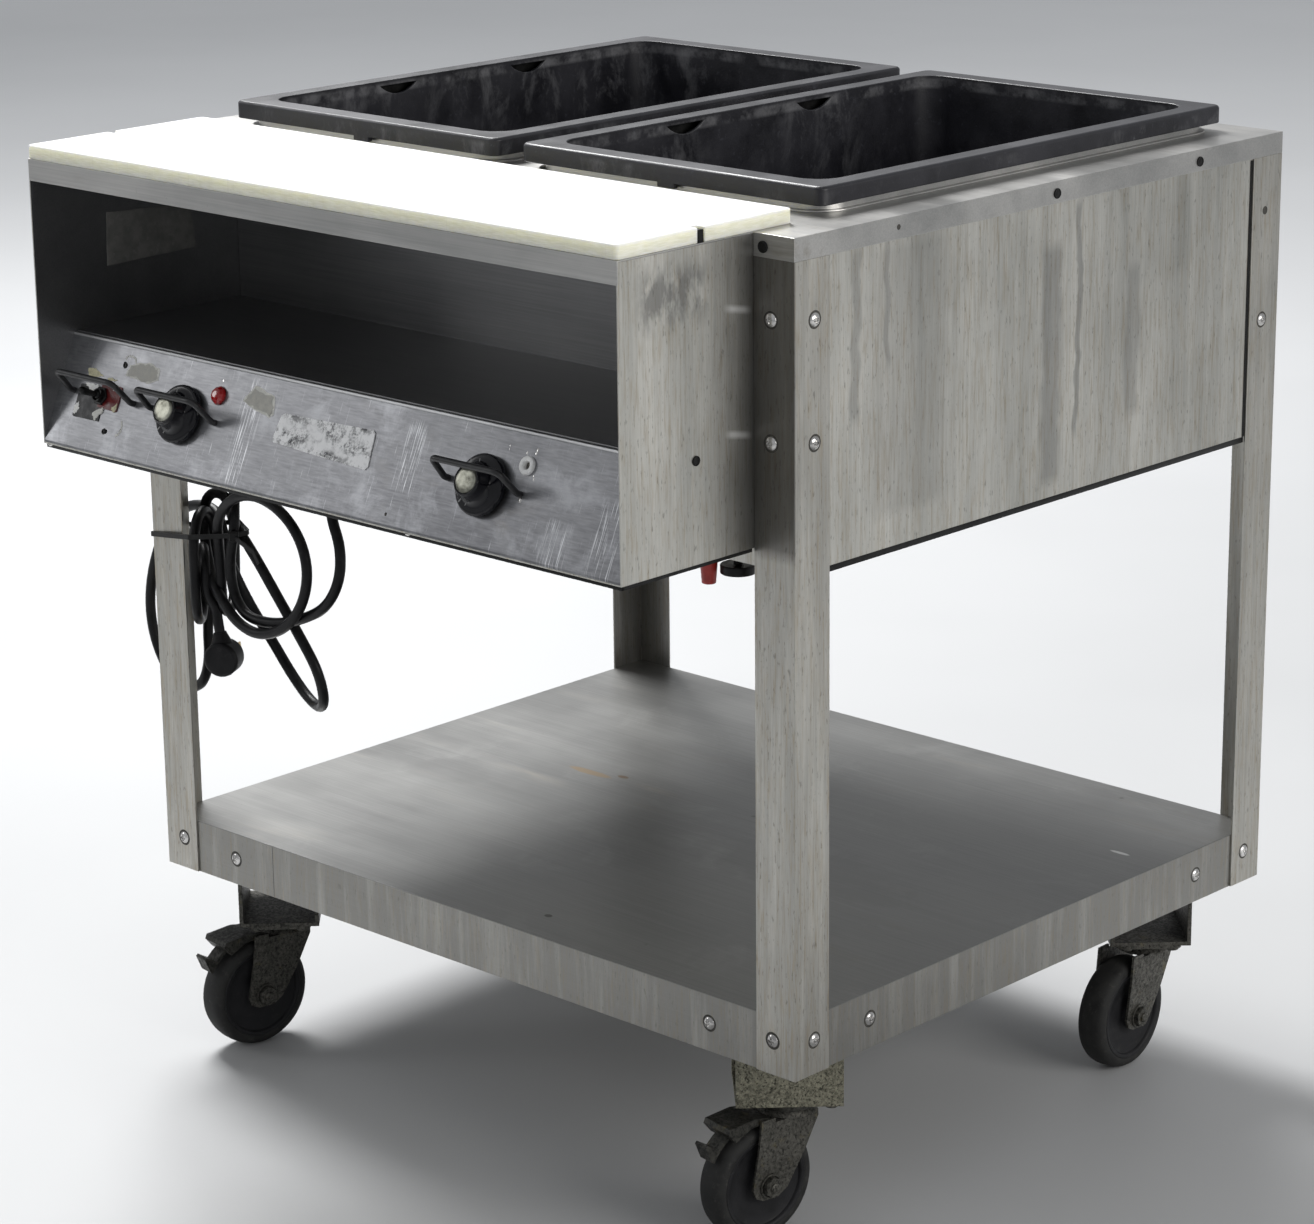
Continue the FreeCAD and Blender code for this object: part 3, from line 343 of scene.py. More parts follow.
def plastic(name, dark, light, rough, scale, bump=0.12, scuff=None, scuff_amount=0.4, **values):
    """Moulded or rubbed plastic or rubber: mottled tone, a fine grain, and scuffs."""
    s = Shader(name, **values)
    cloud = s.noise(scale, 4.0, 0.6)
    grain = s.noise(900.0, 2.0, 0.6)
    color = s.mix(s.ramp(cloud, 0.36, 0.64), dark, light)
    if scuff:
        marks = s.ramp(s.noise(scale * 2.2, 6.0, 0.75, shift=(4, 4, 4)), 0.56, 0.70)
        color = s.cover(color, scuff, marks, scuff_amount)
    r = s.ramp(cloud, 0.35, 0.65, *rough)
    return s.finish(color, r, s.bump(grain, bump, 0.0005))


def bright(name, dark, light, rough=(0.14, 0.26), scale=60.0):
    """Polished plated metal with faint smears."""
    s = Shader(name, Metallic=1.0)
    cloud = s.noise(scale, 4.0, 0.6)
    color = s.mix(s.ramp(cloud, 0.35, 0.65), dark, light)
    return s.finish(color, s.ramp(cloud, 0.35, 0.65, *rough), s.bump(s.noise(500.0), 0.05, 0.0003))


# heights up the slope of the painted highlight along the panel's top bend
PANEL_HIGHLIGHT_BAND = (98.6, 99.6)
SCRATCHED = [(-114, -98, 5, 88), (92, 108, 35, 84), (272, 292, 0, 30), (326, 345, 0, 55)]


def panel_marks(s, color):
    """Hairlines, four scratched zones (x from and to, height from and to), clouds, and a painted
    highlight along the top bend.
    """
    x, up = s.times(s.dot((1, 0, 0)), 1000.0), s.dot(tuple(UP))
    up = s.times(s.minus(up, on_panel(0, 0).dot(UP)), 1000.0)
    flat = s.node("CombineXYZ", X=x, Y=up).outputs[0]

    def hairs(scale, turn, shift, detail, low, high):
        at = s.place(scale, (0, 0, turn), shift, flat)
        return s.ramp(s.node("TexNoise", Vector=at, Scale=1.0, Detail=detail).outputs["Fac"], low, high)

    for i, (turn, amount) in enumerate(((0.10, 0.55), (-0.32, 0.35), (1.2, 0.28), (0.7, 0.30))):
        lines = hairs((0.95, 0.03, 1), turn, (i * 9, 3, 0), 2.0, 0.70, 0.76)
        color = s.cover(color, (0.80, 0.81, 0.84), lines, amount)
    for start, end, low, high in SCRATCHED:
        zone = s.times(window(s, x, start, end, 7), window(s, up, low, high, 8))
        lines = hairs((0.75, 0.025, 1), 0.07, (start, 5, 0), 3.0, 0.54, 0.66)
        color = s.cover(color, (0.86, 0.87, 0.90), s.times(lines, zone), 0.75)
    clouds = s.ramp(s.noise(24.0, 5.0, 0.68, shift=(3, 6, 9), warp=0.3), 0.50, 0.66)
    color = s.cover(color, (0.62, 0.63, 0.66), clouds, 0.26)
    # painted highlight: a pale line along the top bend
    return s.mix(s.ramp(up, *PANEL_HIGHLIGHT_BAND, 0, 0.8), color, 0.95)


# middle x and y, half width and depth in metres, colour and strength of each spill or rub
SPILLS = [(-0.180, 0.100, 0.034, 0.006, (0.30, 0.22, 0.13), 0.75),
          (-0.144, 0.111, 0.008, 0.004, (0.16, 0.10, 0.05), 0.8),
          (0.072, -0.213, 0.005, 0.004, (0.05, 0.045, 0.04), 0.8),
          (0.357, 0.260, 0.012, 0.003, (0.72, 0.72, 0.70), 0.7),
          (-0.290, 0.012, 0.05, 0.04, (0.19, 0.19, 0.185), 0.35),
          (0.163, 0.027, 0.13, 0.06, (0.17, 0.17, 0.165), 0.35)]


def shelf_marks(s, color):
    """Pale smears, dark dots and spills on the lower shelf, painted shade darkening it towards the
    right front, and the flecks of its turned-down edges.
    """
    smears = s.ramp(s.noise(9.0, 5.0, 0.7, shift=(2, 8, 0), warp=0.6), 0.56, 0.76)
    color = s.cover(color, (0.55, 0.55, 0.53), smears, 0.22)
    dots = s.ramp(s.cells(15.0, (1, 3, 0)), 0.05, 0.02)
    color = s.cover(color, (0.06, 0.055, 0.05), dots, 0.5)
    # painted shade: the shelf darker towards the right front
    color = s.mix(s.ramp(s.dot((0.8, -0.6, 0)), -0.30, 0.35, 0.12, 0.38), color, 0.13)
    ragged = s.minus(s.noise(30.0, 3.0, 0.6, shift=(5, 5, 5)), 0.5)
    for x, y, wide, deep, tint, amount in SPILLS:
        dx = s.math("DIVIDE", s.minus(s.dot((1, 0, 0)), x), wide)
        dy = s.math("DIVIDE", s.minus(s.dot((0, 1, 0)), y), deep)
        away = s.math("SQRT", s.plus(s.times(dx, dx), s.times(dy, dy)))
        away = s.plus(away, s.times(ragged, 1.2))
        color = s.cover(color, tint, s.ramp(away, 1.0, 0.75), amount)
    edge = s.ramp(s.dot((0, 0, 1)), (SHELF_Z - 0.2) * MM, (SHELF_Z - 1.2) * MM)
    return s.cover(color, flecks(s, s.mix(edge, color, (0.30, 0.295, 0.275))), edge, 0.6)


# y, half width, lowest and highest z in metres, and strength of each drip down the sides
DRIPS = [(0.078, 0.012, 0.640, 0.835, 0.46), (0.115, 0.0032, 0.676, 0.868, 0.52),
         (-0.181, 0.005, 0.742, 0.872, 0.38), (0.194, 0.009, 0.680, 0.800, 0.36),
         (-0.110, 0.045, 0.655, 0.868, 0.26), (-0.142, 0.003, 0.780, 0.876, 0.40)]
WELD_ZS = (0.8372, 0.7346)


def flecks(s, color):
    """Tan and dark flecks and a pale wash, all drawn out down the sheet."""
    tan = s.ramp(s.noise(1.0, 4.0, 0.7, stretch=(380, 380, 26), shift=(5, 1, 0)), 0.50, 0.66)
    color = s.cover(color, (0.34, 0.27, 0.17), tan, 0.50)
    wash = s.ramp(s.noise(1.0, 5.0, 0.7, stretch=(60, 60, 5), shift=(8, 8, 3)), 0.48, 0.70)
    color = s.cover(color, (0.72, 0.71, 0.66), wash, 0.40)
    specks = s.ramp(s.noise(1.0, 3.0, 0.6, stretch=(430, 430, 110), shift=(1, 1, 7)), 0.60, 0.70)
    return s.cover(color, (0.13, 0.12, 0.10), specks, 0.5)


def side_marks(s, color):
    """Drips, and on the control box a smudge, painted shade in its corner by the front leg, and two
    spot welds.
    """
    color = flecks(s, color)
    z = s.dot((0, 0, 1))
    sway = s.times(s.minus(s.noise(1.0, 2.0, 0.5, stretch=(20, 20, 26)), 0.5), 0.016)
    y = s.plus(s.dot((0, 1, 0)), sway)
    for at, half, low, high, amount in DRIPS:
        core = 0.7 * half
        run = s.times(window(s, y, at - core, at + core, core), window(s, z, low, high, 0.012))
        color = s.cover(color, (0.20, 0.20, 0.195), run, amount)
    y = s.dot((0, 1, 0))
    smudge = s.times(window(s, y, -0.380, -0.322, 0.016), window(s, z, 0.848, 0.872, 0.020))
    smudge = s.times(smudge, s.ramp(s.noise(1.0, 4.0, 0.6, stretch=(70, 70, 30)), 0.40, 0.56))
    color = s.cover(color, 0.12, smudge, 0.62)
    # painted shade: the box's side darkens into its corner with the front leg
    corner = s.times(s.ramp(y, -0.318, -0.259), s.ramp(y, -0.2575, -0.2560, 1, 0))
    color = s.cover(color, 0.07, corner, 0.72)
    tilted = s.plus(z, s.times(s.plus(y, 0.275), 0.195))
    for at in WELD_ZS:
        weld = s.times(window(s, y, -0.284, -0.268, 0.009),
                      window(s, tilted, at - 0.0009, at + 0.0009, 0.0032))
        color = s.cover(color, 0.88, weld, 0.55)
    return color


def leg_marks(s, color):
    """Brown grain-like wear down a leg, painted shadow on the front legs' fronts above the body's
    floor, and painted shade on the far leg.
    """
    z = s.dot((0, 0, 1))
    color = flecks(s, color)
    grain = s.ramp(s.noise(1.0, 5.0, 0.75, stretch=(300, 300, 9), shift=(2, 2, 2)), 0.52, 0.68)
    low = s.ramp(z, 0.20, 0.70, 0.60, 0.30)
    color = s.cover(color, (0.30, 0.265, 0.21), grain, low)
    # painted shadow: the front legs' front faces dark above the body's floor, where the box shades them
    front = s.times(s.ramp(s.dot((0, -1, 0)), 0.2560, 0.2570), s.ramp(z, 0.628, 0.640))
    color = s.cover(color, (0.055, 0.052, 0.050), front, 0.62)
    # painted shade: the far left rear leg darker
    far = s.times(s.ramp(s.dot((0, 1, 0)), 0.30, 0.32), s.ramp(s.dot((1, 0, 0)), -0.10, -0.20))
    return s.cover(color, 0.05, far, 0.55)


def build_materials():
    steel("frame_steel", (0.34, 0.335, 0.31), (0.52, 0.51, 0.475), extra=leg_marks, stain_amount=0.35)
    steel("shelf_steel", (0.205, 0.205, 0.20), (0.31, 0.31, 0.30), rough=(0.37, 0.43),
          grain=(9, 700, 700), streaks=(2.2, 12, 12), extra=shelf_marks, ripple=0.010)
    steel("body_steel", (0.41, 0.41, 0.38), (0.63, 0.62, 0.58), extra=side_marks,
          rough=(0.32, 0.48), pits=0.35)
    # a darker steel for the cubby's floor and inward walls: painted shade
    steel("inner_shaded_steel", (0.20, 0.20, 0.205), 0.30, rough=(0.32, 0.40),
          grain=(9, 700, 700), streaks=(2, 14, 14), stain_amount=0.05, pits=0.15, ripple=0.006)
    steel("top_steel", (0.40, 0.40, 0.39), (0.60, 0.59, 0.57), rough=(0.28, 0.44),
          grain=(9, 700, 700), streaks=(3, 16, 16), stain=(0.20, 0.16, 0.11),
          stain_amount=0.7, ripple=0.05)
    steel("panel_steel", (0.16, 0.162, 0.172), (0.34, 0.343, 0.356), rough=(0.28, 0.46),
          grain=(60, 500, 500), streaks=(11, 16, 16), extra=panel_marks,
          stain_amount=0.25, ripple=0.035)
    zinc("zinc_plate", (0.04, 0.039, 0.033), (0.125, 0.12, 0.105), scale=300.0, spread=0.11)
    zinc("pedal_zinc", (0.014, 0.014, 0.012), (0.06, 0.058, 0.05), scale=260.0, spread=0.12)
    zinc("bracket_zinc", (0.10, 0.096, 0.072), (0.36, 0.345, 0.26), scale=330.0, spread=0.12)
    plastic("wheel_rubber", (0.007, 0.007, 0.008), (0.014, 0.014, 0.016), (0.5, 0.68),
            60.0, scuff=(0.05, 0.05, 0.047), scuff_amount=0.3, Specular_IOR_Level=0.3)
    resin()
    board()
    plastic("knob_plastic", (0.004, 0.004, 0.006), (0.009, 0.009, 0.012), (0.12, 0.22),
            50.0, bump=0.03, Specular_IOR_Level=0.34)
    plastic("guard_black", (0.010, 0.010, 0.011), (0.020, 0.020, 0.021), (0.30, 0.45), 90.0,
            scuff=0.10, scuff_amount=0.4)
    bright("bright_metal", (0.42, 0.41, 0.40), (0.80, 0.79, 0.77))
    bright("cap_metal", (0.10, 0.10, 0.08), (0.60, 0.60, 0.51), (0.28, 0.42), 95.0)
    bright("machined_steel", 0.25, 0.45, (0.3, 0.45))
    plastic("lens_red", (0.42, 0.004, 0.006), (0.66, 0.010, 0.012), (0.05, 0.12), 120.0,
            bump=0.02, Coat_Weight=0.6, Transmission_Weight=0.25)
    plastic("lens_red_dark", (0.10, 0.004, 0.005), (0.22, 0.008, 0.008), (0.15, 0.3), 120.0)
    plastic("mark_grey", 0.20, (0.42, 0.42, 0.41), (0.35, 0.5), 300.0)
    # dark brown for the disc down the white ring's empty bore
    plastic("dark_bore", (0.03, 0.028, 0.022), (0.20, 0.19, 0.16), (0.5, 0.7), 260.0)
    plastic("tread_rubber", 0.012, (0.026, 0.026, 0.025), (0.6, 0.8), 70.0,
            scuff=(0.08, 0.077, 0.07), scuff_amount=0.4, Specular_IOR_Level=0.3)
    plastic("ring_white", (0.84, 0.84, 0.82), (0.97, 0.97, 0.96), (0.25, 0.4), 200.0)
    plastic("plate_black", (0.008, 0.008, 0.010), (0.018, 0.019, 0.021), (0.36, 0.50), 150.0,
            scuff=0.16, scuff_amount=0.35)
    plastic("plate_red", (0.09, 0.006, 0.006), (0.17, 0.014, 0.014), (0.3, 0.45), 150.0)
    plastic("sticker", (0.86, 0.85, 0.80), (0.97, 0.97, 0.95), (0.45, 0.6), 220.0)
    plastic("sticker_back", (0.46, 0.43, 0.26), (0.66, 0.62, 0.42), (0.4, 0.6), 220.0)
    plastic("glue", (0.34, 0.335, 0.30), (0.50, 0.49, 0.44), (0.35, 0.6), 140.0)
    plastic("glue_edge", (0.55, 0.55, 0.50), (0.78, 0.77, 0.72), (0.4, 0.6), 140.0)
    nameplate()
    plastic("label_grey", (0.15, 0.148, 0.14), (0.23, 0.225, 0.21), (0.35, 0.5), 60.0,
            scuff=(0.34, 0.34, 0.32))
    plastic("black_plastic", 0.004, 0.011, (0.3, 0.45), 100.0,
            Specular_IOR_Level=0.25)
    plastic("red_plastic", (0.30, 0.015, 0.012), (0.48, 0.04, 0.03), (0.3, 0.45), 100.0)
    plastic("cord_rubber", (0.003, 0.003, 0.004), (0.010, 0.010, 0.011), (0.32, 0.50), 70.0,
            scuff=0.04, scuff_amount=0.3, Specular_IOR_Level=0.22)
    bright("brass_pins", (0.55, 0.40, 0.18), (0.75, 0.60, 0.34))
    plastic("wire_cover", (0.20, 0.02, 0.02), (0.34, 0.05, 0.04), (0.35, 0.5), 80.0)
    bright("reflector_aluminium", 0.55, 0.75, (0.3, 0.45))
    bright("element_sheath", (0.10, 0.09, 0.08), (0.24, 0.22, 0.20), (0.4, 0.6))
    plastic("shadow_grime", (0.02, 0.019, 0.016), (0.07, 0.065, 0.055), (0.6, 0.8), 300.0)


def zinc(name, dark, light, scale, spread):
    """Tarnished plating: dark pits over a mottled grey-beige skin."""
    s = Shader(name, Metallic=0.55)
    blot = s.noise(scale, 5.0, 0.75)
    cloud = s.noise(24.0, 4.0, 0.6)
    tone = s.plus(s.times(blot, 0.75), s.times(cloud, 0.25))
    color = s.mix(s.ramp(tone, 0.51 - spread, 0.51 + spread), dark, light)
    rust = s.ramp(s.noise(60.0, 3.0, 0.6, shift=(5, 5, 5)), 0.62, 0.72, 0, 0.35)
    color = s.mix(rust, color, (0.16, 0.13, 0.05))
    specks = s.ramp(s.noise(scale * 1.3, 2.0, 0.5, shift=(3, 1, 3)), 0.57, 0.64)
    color = s.cover(color, tuple(0.25 * v for v in dark), specks, 0.8)
    return s.finish(color, s.ramp(blot, 0.4, 0.6, 0.62, 0.42), s.bump(blot, 0.35, 0.0008))


def resin():
    """Satin blue-black moulding: chalk down the walls, a pale band inside the rim that is partly rubbed
    wear and partly a painted highlight of the rounded edge, fine scale.
    """
    s = Shader("well_resin")
    grain = s.noise(600.0, 2.0, 0.6)
    cloud = s.noise(18.0, 5.0, 0.65)
    color = s.mix(s.ramp(cloud, 0.35, 0.65), (0.009, 0.009, 0.012), (0.021, 0.021, 0.027))
    z = s.dot((0, 0, 1))
    chalk = s.ramp(s.noise(1.0, 6.0, 0.75, stretch=(30, 30, 15), shift=(2, 6, 1), warp=0.4), 0.50, 0.74)
    near_top = s.times(s.ramp(z, 0.76, 0.90), s.ramp(z, (RIM_Z - 6.5) * MM, (RIM_Z - 2.5) * MM, 1, 0))
    where = s.ramp(s.noise(7.0, 3.0, 0.6, shift=(7, 1, 3)), 0.42, 0.62)
    chalk = s.times(s.times(chalk, near_top), where)
    color = s.cover(color, (0.26, 0.26, 0.27), chalk, 0.55)
    # pale band under the rim: rubbed wear and a painted highlight of the rim's rounded inner edge
    band = window(s, z, (RIM_Z - 10) * MM, (RIM_Z - 4) * MM, 0.003)
    rubbed = s.times(band, s.ramp(s.noise(34.0, 5.0, 0.7), 0.42, 0.62))
    x = s.math("ABSOLUTE", s.minus(s.math("ABSOLUTE", s.dot((1, 0, 0))), WELL_X * MM))
    within = s.times(s.ramp(x, WELL_HALF * MM, (WELL_HALF + 1) * MM, 1, 0),
                     window(s, s.dot((0, 1, 0)), WELL_Y0 * MM, WELL_Y1 * MM, 0.001))
    color = s.cover(color, (0.30, 0.30, 0.31), s.times(rubbed, within), 0.38)
    scale = s.ramp(s.noise(150.0, 4.0, 0.7, shift=(3, 3, 9)), 0.60, 0.72)
    color = s.cover(color, (0.12, 0.125, 0.15), scale, 0.22)
    r = s.ramp(cloud, 0.35, 0.65, 0.34, 0.52)
    return s.finish(color, r, s.bump(grain, 0.25, 0.0006))


def board():
    """White cutting board: cream sawn edges and a web of fine knife cuts."""
    s = Shader("board_plastic", Subsurface_Weight=0.65, Subsurface_Scale=0.012,
               Subsurface_Radius=(1.0, 0.95, 0.7))
    cloud = s.noise(14.0, 4.0, 0.6)
    color = s.mix(s.ramp(cloud, 0.35, 0.65), (0.80, 0.795, 0.765), (0.88, 0.88, 0.86))
    z = s.dot((0, 0, 1))
    edge = s.ramp(z, (BOARD_TOP - 2.5) * MM, (BOARD_TOP - 0.7) * MM, 1, 0)
    sawn = s.noise(1.0, 3.0, 0.6, stretch=(90, 90, 900))
    color = s.mix(edge, color, s.mix(s.ramp(sawn, 0.35, 0.65), (0.80, 0.79, 0.64), (0.92, 0.91, 0.80)))
    cuts = None
    for turn in (0.3, 1.1, 1.9, 2.6):
        line = s.noise(1.0, 2.0, 0.5, stretch=(900, 18, 1), turn=(0, 0, turn), shift=(turn, 2, 1))
        line = s.ramp(line, 0.66, 0.72)
        cuts = line if cuts is None else s.math("MAXIMUM", cuts, line)
    color = s.cover(color, (0.45, 0.43, 0.38), cuts, 0.14)
    r = s.ramp(cloud, 0.35, 0.65, 0.42, 0.55)
    return s.finish(color, r, s.bump(s.minus(1.0, cuts), 0.25, 0.0004))


def nameplate():
    """A blank painted plate, rubbed through in streaks."""
    s = Shader("plate_white")
    worn = s.ramp(s.noise(120.0, 6.0, 0.78), 0.46, 0.58)
    zone = s.ramp(s.noise(26.0, 3.0, 0.6, stretch=(1, 2.4, 2.4), shift=(4, 0, 2)), 0.34, 0.58)
    color = s.cover(0.93, (0.07, 0.07, 0.075), worn, zone)
    return s.finish(color, s.ramp(worn, 0, 1, 0.35, 0.55), s.bump(worn, 0.2, 0.0003))


build_materials()


# ---- making pieces ----
WELD_DIST = 2e-6


def add(name, bm, material, body, sharp=32.0, flat=False):
    """A new piece from a bmesh: shaded, placed, riding on its body and in its slot."""
    bmesh.ops.remove_doubles(bm, verts=bm.verts, dist=WELD_DIST)
    bmesh.ops.recalc_face_normals(bm, faces=bm.faces)
    mesh = bpy.data.meshes.new(name)
    bm.to_mesh(mesh)
    bm.free()
    for poly in mesh.polygons:
        poly.use_smooth = True
    mesh.set_sharp_from_angle(angle=math.radians(sharp))
    obj = placed(name, mesh)
    for m in material if isinstance(material, list) else [material]:
        mesh.materials.append(MAT[m])
    if flat:
        mod = obj.modifiers.new("flat faces", "WEIGHTED_NORMAL")
        mod.keep_sharp = True
    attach(obj, body)
    return obj


def skin(node, material=None, bevel=0.5, segments=2, angle=35.0):
    """A finished copy of a CAD node with its edges broken; the node itself isn't shown."""
    bm = bmesh.new()
    bm.from_mesh(NODES[node].data)
    bmesh.ops.remove_doubles(bm, verts=bm.verts, dist=WELD_DIST)
    bmesh.ops.dissolve_limit(bm, angle_limit=math.radians(0.6), verts=bm.verts, edges=bm.edges)
    edges = [e for e in bm.edges if len(e.link_faces) == 2
             and e.calc_face_angle() > math.radians(angle)]
    bmesh.ops.bevel(bm, geom=edges, offset=bevel * MM, segments=segments, profile=0.5,
                    affect="EDGES", clamp_overlap=True)
    for layer in list(bm.loops.layers.float_vector.values()):
        bm.loops.layers.float_vector.remove(layer)
    obj = add(node + "_skin", bm, material or SLOT[node], BODY[node], flat=True)
    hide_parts(node)


def islands(node):
    """(lowest, highest) corners of each separate solid in a CAD node."""
    bm = bmesh.new()
    bm.from_mesh(NODES[node].data)
    bmesh.ops.remove_doubles(bm, verts=bm.verts, dist=WELD_DIST)
    left, found = set(bm.verts), []
    while left:
        stack, group = [left.pop()], []
        while stack:
            v = stack.pop()
            group.append(v.co.copy())
            for e in v.link_edges:
                other = e.other_vert(v)
                if other in left:
                    left.discard(other)
                    stack.append(other)
        low = Vector([min(c[i] for c in group) for i in range(3)])
        high = Vector([max(c[i] for c in group) for i in range(3)])
        found.append((low, high))
    bm.free()
    return sorted(found, key=lambda b: tuple(round(v, 5) for v in b[0]))


def facing(axis, at):
    """A frame at a point whose Z is axis."""
    axis = Vector(axis).normalized()
    side = axis.cross(Vector((0, 0, 1)) if abs(axis.z) < 0.9 else Vector((1, 0, 0))).normalized()
    return Matrix.Translation(at) @ Matrix((side, axis.cross(side), axis)).transposed().to_4x4()


def lathe(bm, outline, at, segments, dent=None):
    """Turn (radius, height) pairs in millimetres about the Z of a frame; ends on the axis close."""
    rings = []
    for r, h in outline:
        if r < 1e-6:
            rings.append([bm.verts.new(at @ Vector((0, 0, h * MM)))])
            continue
        ring = []
        for i in range(segments):
            t = 2 * math.pi * i / segments
            x, y, z = r * math.cos(t), r * math.sin(t), h
            if dent:
                x, y, z = dent(x, y, z)
            ring.append(bm.verts.new(at @ (Vector((x, y, z)) * MM)))
        rings.append(ring)
    for a, b in zip(rings, rings[1:]):
        for i in range(segments):
            j = (i + 1) % segments
            corners = (a if len(a) == 1 else [a[i], a[j]]) + (b if len(b) == 1 else [b[j], b[i]])
            if len(corners) > 2:
                bm.faces.new(corners)


def lathed(name, outline, at, segments, material, body, sharp=32.0):
    """A new piece that is one turned outline."""
    bm = bmesh.new()
    lathe(bm, outline, at, segments)
    return add(name, bm, material, body, sharp)


def brick(bm, low, high, at=Matrix.Identity(4), bevel=0.0):
    """A box between two corners in millimetres, with its edges broken."""
    low, high = Vector(low) * MM, Vector(high) * MM
    size, centre = high - low, (high + low) / 2
    matrix = at @ Matrix.Translation(centre) @ Matrix.Diagonal((*size, 1))
    part = bmesh.ops.create_cube(bm, size=1.0, matrix=matrix)
    if bevel:
        edges = list({e for v in part["verts"] for e in v.link_edges})
        bmesh.ops.bevel(bm, geom=edges, offset=bevel * MM, segments=2, profile=0.5, affect="EDGES")


def slab(bm, outline, thick, at):
    """A thin plate from an outline; at(point, height) places each corner."""
    lower = [bm.verts.new(at(p, 0.0)) for p in outline]
    upper = [bm.verts.new(at(p, thick)) for p in outline]
    bm.faces.new(lower[::-1])
    bm.faces.new(upper)
    for i in range(len(outline)):
        j = (i + 1) % len(outline)
        bm.faces.new([lower[i], lower[j], upper[j], upper[i]])


# ---- sheet metal ----
LOOKS = {"lower_shelf": "shelf_steel", "storage_tray": "inner_shaded_steel", "box_bottom": "body_steel",
         "caster_brackets": "bracket_zinc", "board_posts": "black_plastic"}
SHEETS = ("leg_", "lower_shelf", "side_panels", "rear_panel", "bottom_pan", "box_", "storage_tray",
          "work_shelf", "control_panel", "worktop", "board_posts")


def second_look(node, material, where):
    """Gives a skin's faces another material wherever where(face) is true."""
    mesh = bpy.data.objects[node + "_skin"].data
    mesh.materials.append(MAT[material])
    for face in mesh.polygons:
        if where(face):
            face.material_index = 1


def in_cubby_shade(face):
    """The control box sides' inward faces, above the panel's lower edge, which take the darker inner
    steel as painted shade.
    """
    return face.normal.x * face.center.x < -0.2 and face.center.z > 0.7


def under_rim_shade(face):
    """The collars' upright faces that look in at their well, which the scoops let through; black
    plastic on them is painted shade.
    """
    x, y, z = face.center
    inward = Vector((math.copysign(0.188, x), 0.115, z)) - face.center
    return abs(face.normal.z) < 0.5 and face.normal.dot(inward) > 0


def in_shade(face):
    """Every caster channel but the front right one, which is paler in the photograph."""
    return face.center.x < 0 or face.center.y > 0


for name in NODES:
    if name.startswith(SHEETS):
        skin(name, LOOKS.get(name), bevel=0.45)
for name in ("well_collars", "caster_brackets", "caster_plates", "terminal_block"):
    skin(name, LOOKS.get(name), bevel=0.5)
second_look("box_sides", "inner_shaded_steel", in_cubby_shade)
second_look("well_collars", "black_plastic", under_rim_shade)
# the caster channels in shade take the darker zinc: painted shade
second_look("caster_brackets", "zinc_plate", in_shade)
for side in ("left", "right"):
    skin("well_" + side, bevel=1.2, segments=3, angle=40)
skin("cutting_board", bevel=1.0, segments=3)
for name in NODES:
    if name.startswith(("fork_", "brake_pedal_")):
        skin(name, "pedal_zinc" if name.startswith("brake") else None, bevel=0.6)
skin("cord_plug", bevel=1.4, segments=3, angle=25)
skin("underside_cap_black", bevel=1.2, segments=3)
skin("underside_cap_red", bevel=0.8, segments=2)
skin("power_switch", "black_plastic", bevel=0.3)


# ---- fasteners ----
def cross_recess(r_out, depth, arm):
    """Lowers the middle of a screw head along two crossing arms."""
    def dent(x, y, z):
        if math.hypot(x, y) < r_out and (abs(x) < arm or abs(y) < arm):
            z -= depth
        return x, y, z
    return dent


def seat(low, high):
    """Where a fastener's box meets its sheet, facing out of it, with its size."""
    size, middle = high - low, (low + high) / 2
    i = min(range(3), key=lambda k: size[k])
    outward, foot = Vector((0, 0, 0)), middle.copy()
    outward[i] = 1.0 if middle[i] > 0 else -1.0
    foot[i] = low[i] if outward[i] > 0 else high[i]
    return facing(outward, foot), size


def screws():
    """Round heads with a cross recess, each in its own dark ring of painted shadow and grime."""
    dome = [(0, 2.5), (0.7, 2.5), (0.9, 2.48), (1.6, 2.4), (2.4, 2.25), (3.0, 2.1), (3.2, 2.06),
            (4.2, 1.65), (5.1, 1.1), (5.7, 0.55), (5.95, 0.2), (5.95, 0.0)]
    recess = cross_recess(r_out=3.1, depth=1.2, arm=0.85)
    heads, rings = bmesh.new(), bmesh.new()
    rng = random.Random(11)
    for low, high in islands("frame_screws"):
        at = seat(low, high)[0] @ Matrix.Rotation(rng.uniform(0, math.pi / 2), 4, "Z")
        lathe(heads, dome, at, 40, recess)
        # a dark ring round each head: painted shadow and grime
        lathe(rings, [(5.9, 0.06), (6.6, 0.07), (7.3 + rng.uniform(0, 0.6), 0.0)], at, 28)
    heads = add("screw_heads", heads, "bright_metal", "frame", sharp=40)
    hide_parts("frame_screws")
    add("screw_shadow_grime", rings, "shadow_grime", "frame")


def hole_plugs():
    """Domed black plugs with a rolled rim."""
    bm = bmesh.new()
    for low, high in islands("plug_buttons"):
        at, size = seat(low, high)
        r = max(size) / 2 / MM
        lathe(bm, [(0, 1.0), (r * 0.5, 0.95), (r * 0.72, 0.7), (r * 0.8, 1.2), (r * 0.92, 1.35),
                   (r, 0.9), (r, 0)], at, 28)
    plugs = add("plug_button_heads", bm, "black_plastic", "frame")
    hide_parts("plug_buttons")


# heights and depths of the box's lower hems, which take black strips of painted shade
HEM_Z = (633.4, 637.2)
HEM_IN, HEM_OUT = 359.0, 361.4


